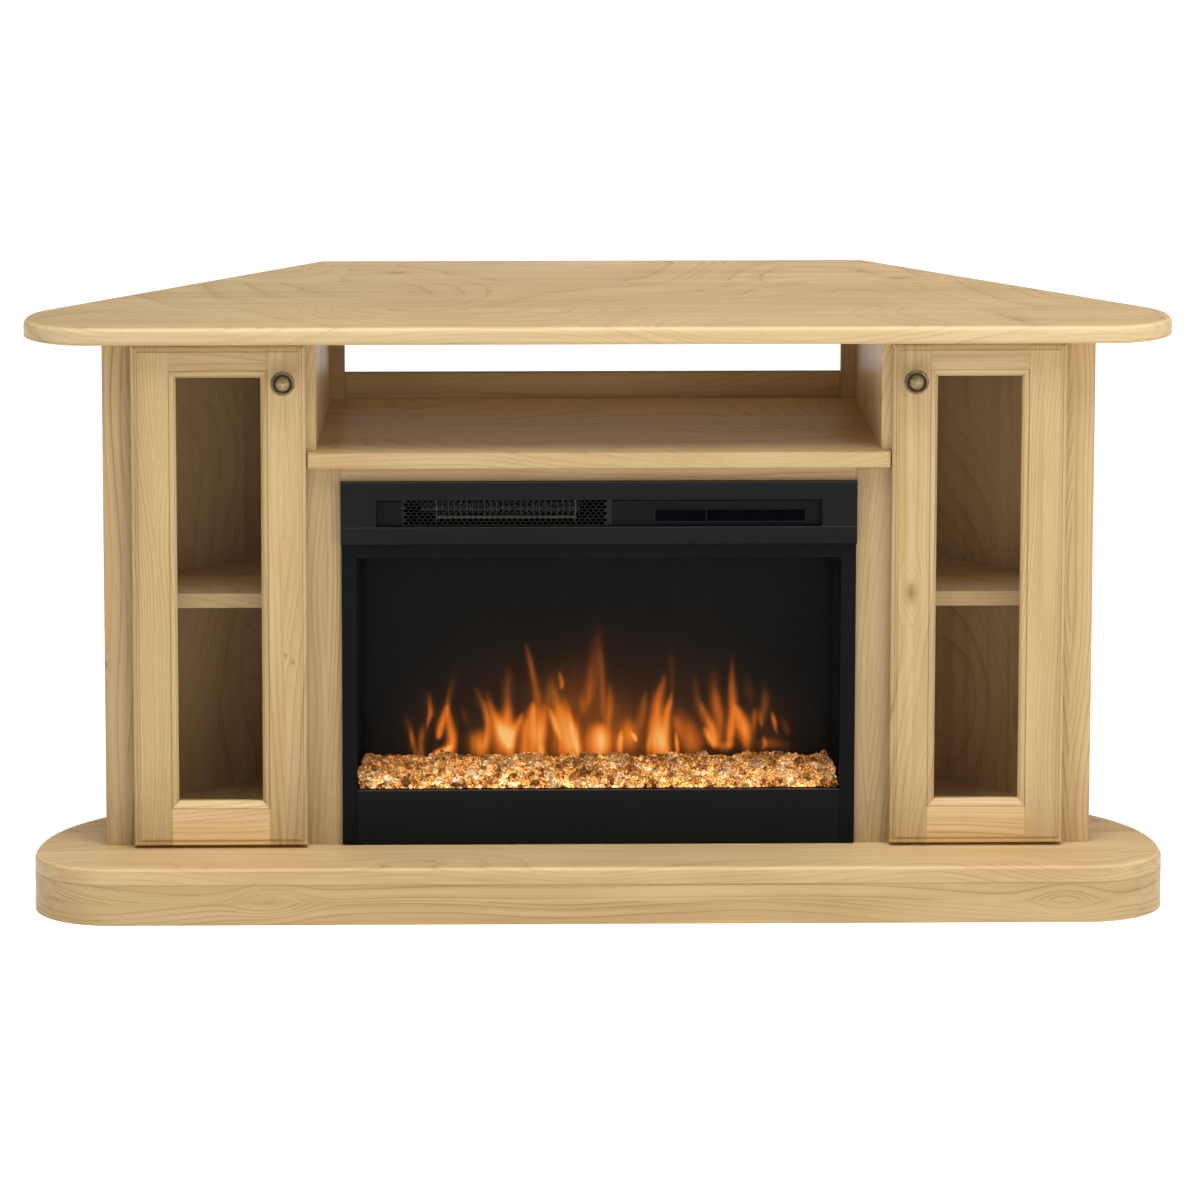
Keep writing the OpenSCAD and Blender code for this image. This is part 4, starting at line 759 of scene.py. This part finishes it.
def crystal_tree(material, fineness):
    tree = bpy.data.node_groups.new("scatter_crystals", "GeometryNodeTree")
    add_sockets(tree, "INPUT", (
        ("Surface", "Geometry", None), ("Stones Per Square Metre", "Float", 78000.0),
        ("Least Radius", "Float", 0.0019), ("Greatest Radius", "Float", 0.0052),
        ("Seed", "Int", 4)))
    add_sockets(tree, "OUTPUT", (("Stones", "Geometry", None),))
    n = Nodes(tree)
    given = n.add("NodeGroupInput").outputs

    def random_vector(seed, low, high):
        return n.add("FunctionNodeRandomValue", {"Seed": seed, 0: (low,) * 3, 1: (high,) * 3},
                     data_type="FLOAT_VECTOR").outputs[0]

    def random_number(seed):
        return n.add("FunctionNodeRandomValue", {"Seed": seed}, data_type="FLOAT").outputs[1]

    def stored(geometry, name, domain, value):
        return n.add("GeometryNodeStoreNamedAttribute", {
            "Geometry": geometry, "Name": name, "Value": value},
            domain=domain, data_type="FLOAT").outputs[0]

    spots = n.add("GeometryNodeDistributePointsOnFaces", {
        "Mesh": given["Surface"], "Density": given["Stones Per Square Metre"],
        "Seed": given["Seed"]}).outputs[0]
    stone = n.add("GeometryNodeMeshIcoSphere", {"Radius": 1.0, "Subdivisions": fineness})
    few_large = n.math("POWER", random_number(2), 2.5)
    size = n.span(few_large, 0.0, 1.0, given["Least Radius"], given["Greatest Radius"])
    shape = n.add("ShaderNodeVectorMath", {0: random_vector(3, 0.65, 1.45), "Scale": size},
                  operation="SCALE").outputs[0]
    laid = n.add("GeometryNodeInstanceOnPoints", {
        "Points": spots, "Instance": stone.outputs[0], "Rotation": random_vector(1, 0.0, 6.28),
        "Scale": shape}).outputs[0]
    toned = stored(laid, "tone", "INSTANCE", random_number(5))
    solid = n.add("GeometryNodeRealizeInstances", {0: toned}).outputs[0]
    glinted = stored(solid, "glint", "FACE", random_number(6))
    x, y, z = n.parts(n.add("GeometryNodeInputPosition").outputs[0])
    kept = n.joined(x, n.math("MAXIMUM", y, BEHIND_GLASS_Y), n.math("MAXIMUM", z, OVER_RIM_Z))
    pressed = n.add("GeometryNodeSetPosition", {"Geometry": glinted, "Position": kept}).outputs[0]
    flat = n.add("GeometryNodeSetShadeSmooth", {"Geometry": pressed, "Shade Smooth": False})
    painted = n.add("GeometryNodeSetMaterial", {"Geometry": flat.outputs[0], "Material": material})
    n.add("NodeGroupOutput", {0: painted.outputs[0]})
    return tree


def apply_tree(thing, tree, name, values):
    """Runs a node tree on a thing and gives its result as a plain new object."""
    modifier = thing.modifiers.new(name, "NODES")
    modifier.node_group = tree
    for item in tree.interface.items_tree:
        if item.item_type == "SOCKET" and item.in_out == "INPUT" and item.name in values:
            modifier[item.identifier] = values[item.name]
    bpy.context.view_layer.update()
    graph = bpy.context.evaluated_depsgraph_get()
    mesh = bpy.data.meshes.new_from_object(thing.evaluated_get(graph))
    thing.modifiers.remove(modifier)
    return link_object(name, mesh)


grit = apply_tree(bed, crystal_tree(grit_finish, 1), "ember_grit", {
    "Seed": 4, "Stones Per Square Metre": 138000.0, "Least Radius": 0.0011,
    "Greatest Radius": 0.0036})
nuggets = apply_tree(bed, crystal_tree(nugget_finish, 2), "ember_nuggets", {
    "Seed": 9, "Stones Per Square Metre": 4800.0, "Least Radius": 0.0030,
    "Greatest Radius": 0.0074})
bed.data.materials.append(grit_finish)
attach(grit, "cabinet")
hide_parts("ember_bed")
for thing in (nuggets, bed):
    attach(thing, "cabinet")
print(len(grit.data.polygons), "grit faces,", len(nuggets.data.polygons), "nugget faces")

# %% [markdown]
# ## Flames
# The flames are light thrown on the smoked screen, so they have no thickness. A real projector
# moves spots of light up the screen, and this does the same once: each flame is a bent line with a
# width and a heat at every point, and wide faint lines make the glow round the flames.
# A line runs from its tip down, with four whole numbers for each point: place across and height
# in millimetres, half width in tenths of a millimetre and heat in hundredths.

# %% Flame lines
FLAMES = [
    [-218, 258, 9, 0, -218, 239, 17, 40, -217, 227, 22, 70, -219, 219, 19, 62, -221, 210, 13, 35,
     -222, 199, 11, 0],
    [-227, 261, 24, 0, -222, 250, 32, 10, -217, 239, 37, 12, -214, 223, 32, 0],
    [-243, 210, 11, 0, -242, 196, 19, 42, -240, 185, 24, 40, -236, 173, 24, 40, -234, 163, 19, 20],
    [-227, 214, 15, 0, -228, 201, 24, 38, -230, 188, 26, 42, -229, 173, 26, 45, -228, 163, 22, 20],
    [-253, 228, 15, 0, -247, 216, 26, 16, -243, 203, 26, 20, -240, 192, 22, 12, -238, 183, 15, 0],
    [-186, 296, 11, 0, -187, 272, 26, 14, -191, 258, 28, 22, -194, 245, 28, 34, -196, 234, 30, 55,
     -200, 221, 32, 85, -204, 207, 30, 100, -206, 197, 24, 95, -207, 192, 11, 55],
    [-195, 236, 15, 30, -193, 221, 32, 62, -191, 207, 37, 85, -189, 194, 39, 105,
     -190, 183, 41, 110, -193, 174, 47, 110, -196, 165, 50, 90],
    [-189, 184, 15, 30, -194, 179, 26, 100, -201, 176, 28, 115, -208, 174, 24, 115,
     -215, 172, 13, 60],
    [-205, 174, 32, 50, -204, 168, 54, 85, -202, 161, 65, 75],
    [-176, 236, 13, 0, -174, 226, 22, 16, -170, 216, 19, 12, -168, 207, 13, 0],
    [-159, 267, 9, 0, -155, 254, 22, 20, -150, 243, 28, 34, -146, 232, 28, 55, -143, 218, 30, 66,
     -142, 205, 32, 66, -143, 192, 39, 62, -147, 181, 47, 50, -151, 170, 54, 30],
    [-151, 205, 32, 0, -153, 196, 60, 55, -154, 187, 71, 66, -153, 178, 75, 50, -152, 170, 75, 20],
    [-164, 201, 32, 0, -162, 190, 65, 26, -157, 178, 86, 30, -155, 170, 86, 20],
    [-144, 258, 11, 0, -141, 245, 26, 28, -138, 234, 30, 45, -134, 223, 37, 72, -130, 212, 45, 85,
     -125, 201, 54, 95, -119, 189, 54, 90, -114, 178, 43, 50],
    [-97, 227, 11, 10, -100, 219, 26, 66, -104, 210, 34, 85, -108, 202, 39, 95, -111, 192, 39, 80,
     -113, 181, 30, 30],
    [-116, 296, 11, 0, -115, 276, 37, 20, -117, 258, 39, 26, -117, 240, 39, 42, -117, 225, 47, 72,
     -117, 212, 58, 100, -116, 200, 54, 125, -114, 189, 45, 105, -113, 178, 39, 90,
     -113, 167, 37, 70],
    [-127, 232, 17, 0, -128, 218, 43, 35, -128, 203, 54, 60, -126, 187, 65, 66, -125, 174, 71, 60,
     -124, 165, 71, 30],
    [-93, 325, 9, 0, -92, 315, 19, 36, -88, 300, 24, 50, -85, 285, 26, 55, -81, 267, 30, 46,
     -78, 249, 34, 42, -78, 234, 43, 35, -79, 223, 47, 20],
    [-84, 240, 15, 20, -84, 230, 39, 85, -85, 219, 54, 98, -84, 207, 63, 100, -82, 196, 63, 85,
     -83, 183, 71, 70, -85, 169, 75, 60, -86, 163, 71, 30],
    [-69, 238, 15, 10, -70, 227, 37, 50, -71, 214, 45, 72, -72, 200, 47, 80, -74, 187, 47, 72,
     -75, 174, 47, 60],
    [-91, 223, 15, 0, -93, 207, 37, 50, -95, 192, 47, 55, -96, 176, 47, 55, -96, 165, 43, 30],
    [-72, 185, 11, 20, -72, 176, 26, 90, -72, 167, 26, 115, -73, 162, 19, 80],
    [-49, 285, 6, 0, -48, 277, 15, 55, -46, 269, 19, 72, -46, 262, 15, 70, -47, 258, 6, 30],
    [-60, 280, 22, 0, -59, 267, 43, 20, -62, 254, 50, 22, -65, 238, 50, 22, -65, 222, 43, 0],
    [-58, 267, 13, 0, -55, 254, 30, 24, -52, 240, 37, 42, -48, 227, 50, 75, -44, 214, 65, 98,
     -40, 202, 71, 105, -36, 191, 71, 102, -31, 180, 65, 95, -27, 170, 47, 60],
    [-63, 236, 9, 10, -60, 226, 22, 70, -56, 216, 26, 90, -53, 207, 26, 90, -50, 198, 22, 70,
     -47, 190, 13, 20],
    [-43, 253, 13, 0, -41, 240, 26, 30, -38, 227, 30, 45, -34, 214, 32, 80, -30, 202, 30, 100,
     -28, 191, 28, 95, -26, 180, 26, 85, -24, 170, 19, 50],
    [-49, 196, 22, 0, -47, 185, 65, 50, -43, 176, 75, 60, -39, 168, 65, 40],
    [3, 351, 17, 0, 1, 329, 47, 22, -1, 307, 54, 26, -4, 287, 56, 30, -7, 267, 54, 36,
     -10, 249, 50, 36, -13, 238, 39, 20, -14, 229, 22, 0],
    [-24, 253, 11, 0, -20, 240, 24, 24, -17, 229, 24, 20, -15, 218, 15, 0],
    [0, 209, 26, 10, -1, 198, 65, 85, -1, 187, 80, 105, 0, 176, 84, 95, 0, 167, 75, 50],
    [4, 324, 11, 0, 5, 302, 24, 32, 6, 284, 28, 40, 7, 267, 28, 38, 7, 249, 28, 36, 7, 231, 28, 20,
     7, 218, 22, 0],
    [16, 271, 13, 0, 17, 253, 32, 30, 17, 236, 37, 42, 15, 220, 34, 42, 14, 207, 28, 20,
     14, 198, 19, 0],
    [6, 211, 22, 0, 7, 202, 54, 80, 9, 192, 60, 95, 8, 182, 60, 75, 7, 172, 54, 40],
    [31, 202, 9, 20, 31, 194, 22, 95, 30, 186, 24, 100, 30, 177, 24, 80, 29, 171, 15, 30],
    [41, 218, 26, 0, 41, 209, 60, 45, 42, 199, 71, 75, 43, 190, 71, 70, 44, 180, 65, 40],
    [45, 200, 9, 60, 48, 196, 15, 130, 50, 192, 15, 140, 52, 188, 9, 80],
    [63, 260, 11, 0, 62, 246, 28, 34, 61, 233, 34, 40, 59, 220, 37, 35, 57, 207, 32, 20,
     56, 195, 22, 0],
    [89, 284, 9, 0, 87, 271, 24, 36, 84, 260, 32, 50, 81, 249, 41, 62, 79, 238, 50, 74,
     78, 226, 54, 80, 80, 213, 56, 92, 81, 200, 56, 110, 81, 189, 54, 115, 82, 178, 52, 100,
     84, 167, 43, 70],
    [97, 253, 9, 20, 96, 242, 22, 70, 93, 231, 30, 88, 91, 220, 32, 98, 90, 206, 37, 90,
     89, 193, 43, 90, 90, 180, 43, 95, 93, 167, 32, 80],
    [73, 226, 15, 0, 72, 213, 37, 40, 73, 198, 47, 60, 74, 182, 52, 66, 75, 169, 47, 50],
    [69, 200, 9, 10, 68, 189, 19, 50, 67, 178, 19, 45, 67, 169, 13, 20],
    [94, 324, 11, 0, 96, 302, 26, 12, 98, 280, 28, 16, 98, 257, 24, 12, 98, 244, 13, 0],
    [103, 198, 6, 40, 104, 190, 15, 105, 105, 180, 17, 110, 105, 169, 15, 90],
    [105, 235, 22, 0, 110, 220, 65, 22, 116, 209, 86, 34, 121, 199, 93, 56, 123, 190, 91, 84,
     125, 181, 82, 70, 126, 172, 65, 40],
    [101, 226, 22, 0, 103, 215, 39, 34, 106, 204, 43, 36, 108, 193, 39, 20],
    [134, 246, 9, 0, 137, 235, 22, 35, 142, 224, 30, 50, 146, 214, 37, 75, 150, 204, 41, 98,
     154, 194, 41, 105, 155, 186, 37, 85, 155, 179, 26, 30],
    [140, 206, 9, 30, 144, 199, 24, 90, 147, 192, 28, 100, 151, 185, 26, 80, 154, 180, 15, 30],
    [151, 302, 13, 0, 153, 279, 37, 12, 153, 259, 41, 30, 155, 246, 45, 55, 157, 233, 50, 70,
     159, 220, 47, 62, 160, 206, 43, 42, 161, 193, 39, 25],
    [153, 187, 22, 0, 162, 182, 43, 50, 170, 181, 43, 55, 177, 184, 26, 30],
    [176, 313, 9, 0, 176, 295, 19, 22, 176, 275, 28, 45, 176, 259, 34, 66, 177, 246, 39, 82,
     177, 233, 39, 80, 176, 219, 39, 75, 175, 206, 39, 88, 174, 193, 37, 90, 173, 181, 28, 50],
    [179, 237, 9, 20, 183, 229, 34, 80, 187, 221, 50, 98, 190, 211, 58, 120, 193, 202, 58, 125,
     195, 192, 50, 85, 196, 182, 39, 50, 197, 173, 28, 20],
    [192, 284, 15, 0, 196, 266, 39, 12, 199, 248, 39, 14, 201, 235, 28, 0],
    [205, 235, 9, 0, 206, 225, 24, 42, 206, 216, 28, 42, 205, 205, 26, 20, 205, 195, 19, 0],
    [217, 266, 13, 0, 220, 250, 34, 24, 220, 237, 37, 30, 217, 224, 32, 30, 215, 212, 24, 22,
     214, 204, 13, 0],
    [212, 235, 9, 0, 212, 224, 17, 25, 214, 213, 15, 20, 216, 204, 9, 0],
    [229, 227, 6, 20, 230, 220, 17, 72, 232, 213, 19, 78, 233, 205, 15, 50, 236, 197, 9, 10],
    [217, 195, 6, 10, 219, 189, 15, 50, 220, 184, 17, 50, 217, 177, 13, 35],
    [242, 221, 11, 0, 245, 210, 24, 20, 249, 200, 22, 16, 250, 193, 13, 0],
    [205, 182, 32, 0, 220, 185, 47, 25, 237, 184, 47, 25, 255, 180, 26, 0],
    [125, 284, 15, 0, 128, 264, 32, 14, 131, 244, 37, 20, 136, 226, 37, 24, 138, 213, 26, 0],
]
HAZE = [
    [0, 352, 400, 0, 2, 300, 520, 9, 5, 240, 660, 17, 5, 190, 700, 26, 5, 150, 660, 23],
    [-150, 330, 400, 0, -130, 270, 520, 9, -115, 215, 580, 20, -110, 160, 580, 22],
    [125, 330, 400, 0, 120, 270, 520, 9, 120, 215, 600, 20, 120, 160, 600, 22],
    [-225, 250, 200, 0, -222, 215, 280, 9, -215, 175, 320, 16],
    [225, 265, 200, 0, 222, 220, 280, 10, 215, 175, 320, 18],
    [-20, 300, 140, 0, -34, 255, 260, 18, -36, 210, 300, 29, -30, 165, 300, 29],
    [22, 240, 120, 0, 24, 215, 200, 21, 28, 180, 240, 29, 30, 160, 220, 26],
]


def spline_points(numbers, step):
    """Points along a smooth curve through a line's own points, with the run to the next."""
    line = [(numbers[i], numbers[i + 1], numbers[i + 2] / 10, numbers[i + 3] / 100)
            for i in range(0, len(numbers), 4)]
    made = []
    for i in range(len(line) - 1):
        p = [line[max(i - 1, 0)], line[i], line[i + 1], line[min(i + 2, len(line) - 1)]]
        length = math.dist(p[1][:2], p[2][:2])
        count = max(1, int(length / step))
        for k in range(count):
            t = k / count
            spot = (0.5 * (2 * b + (c - a) * t + (2 * a - 5 * b + 4 * c - d) * t * t
                           + (3 * b - a - 3 * c + d) * t ** 3) for a, b, c, d in zip(*p))
            made.append((*spot, length / count))
    return made


print(len(FLAMES), "flames and", len(HAZE), "lines of glow")

# %% [markdown]
# A soft round spot is laid along each line. The spots add up on a fine sheet just before the
# screen, and the sheet's own map carries the sum to its finish.

# %% Flame sheet
PITCH_X, PITCH_Z = 1.5, 2.2
LEFT, RIGHT, LOW, HIGH = -306.0, 306.0, 146.0, 356.0
STEP = 1.4  # between two spots on a line
SOFTNESS, STRENGTH = 1.06, 0.86  # of every spot
REACH = 3.2  # how far a spot is laid, in widths
ROOT_TAU = 2.5066
SHEET_Y = FACE_Y + 0.0940
MAP_SCALE = 4.0  # the map holds heat divided by this
across = numpy.arange(LEFT, RIGHT + 0.1, PITCH_X)
upward = numpy.arange(LOW, HIGH + 0.1, PITCH_Z)
heat = numpy.zeros((len(upward), len(across)))
for line in FLAMES + HAZE:
    for x, z, half, power, run in spline_points(line, STEP):
        if power <= 0 or half <= 0:
            continue
        wide = max(half, 1.0) * SOFTNESS
        near_x = slice(*numpy.searchsorted(across, (x - REACH * wide, x + REACH * wide)))
        near_z = slice(*numpy.searchsorted(upward, (z - REACH * wide, z + REACH * wide)))
        off = (across[None, near_x] - x) ** 2 + (upward[near_z, None] - z) ** 2
        peak = STRENGTH * power * run / (wide * ROOT_TAU)
        heat[near_z, near_x] += peak * numpy.exp(-off / (2 * wide * wide))
sheet_points = [(x / 1000, SHEET_Y, z / 1000) for x in across for z in upward]
flames = grid_mesh("flame_picture", sheet_points, len(across), len(upward))
values = numpy.zeros(2 * len(flames.data.loops))
corner = numpy.zeros(len(flames.data.loops), dtype=numpy.int32)
flames.data.loops.foreach_get("vertex_index", corner)
values[0::2] = heat.T.reshape(-1)[corner] / MAP_SCALE
values[1::2] = 0.5
flames.data.uv_layers.new(name="heat_map").data.foreach_set("uv", values)
print("flame sheet of", len(flames.data.polygons), "faces, greatest heat",
      round(float(heat.max()), 2))

# %% [markdown]
# The finish turns heat into light. More heat covers more of the screen, and its colour goes from
# dark red over orange to light amber. Fine upright streaks break it up, it dims towards the tips,
# and some flames lean to gold. Tiny painted dots stand in a belt over the bed, a painted reflection
# of its glitter in the screen.

# %% Flame finish
def flame_finish(name):
    material, n, shader = new_material(name)
    where = n.add("ShaderNodeUVMap", uv_map="heat_map").outputs[0]
    point = n.point()
    z = n.parts(point)[2]
    streak = n.noise(point, (150.0, 1.0, 15.0), 2.0, 0.55)
    power = n.times(n.parts(where)[0], MAP_SCALE, n.span(streak, 0.30, 0.70, 0.84, 1.14),
                    n.span(z, 0.205, 0.330, 1.0, 0.56))
    # painted reflection of the bed's glitter: tiny dots in a belt over the bed
    chance, reach = n.cells(n.scaled(point, (1.0, 0.0, 1.0)), 135.0)
    dot = n.times(n.span(reach, 0.05, 0.12, 1.0, 0.0), n.span(chance[0], 0.55, 1.0, 0.0, 1.1))
    glitter_reflection_belt = n.times(n.span(z, 0.176, 0.186), n.span(z, 0.190, 0.214, 1.0, 0.0))
    power = n.plus(power, n.times(dot, glitter_reflection_belt))
    thick = n.plus(n.times(power, -0.55), n.times(n.math("POWER", power, 1.6), -1.35))
    colour = n.ramp(n.times(power, 0.625), [
        (0.0, (0.24, 0.085, 0.026)), (0.14, (0.46, 0.125, 0.022)), (0.32, (0.76, 0.170, 0.018)),
        (0.50, (1.0, 0.230, 0.022)), (0.68, (1.0, 0.31, 0.045)), (0.85, (1.0, 0.41, 0.090)),
        (1.0, (1.0, 0.54, 0.185))])
    gold = n.span(n.noise(point, (17.0, 1.0, 5.0), 1.0), 0.52, 0.66, 0.0, 0.35)
    n.feed(shader, {
        "Emission Color": n.mix(gold, colour, n.tinted(colour, (0.92, 1.28, 0.95))),
        "Alpha": n.minus(1.0, n.math("EXPONENT", thick)), "Emission Strength": 1.0,
        "Base Color": rgba(0), "Specular IOR Level": 0.0, "Roughness": 1.0})
    material.surface_render_method = "BLENDED"
    return material


flames.data.materials.append(flame_finish("projected_flame"))
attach(flames, "cabinet")
print("flames shown")
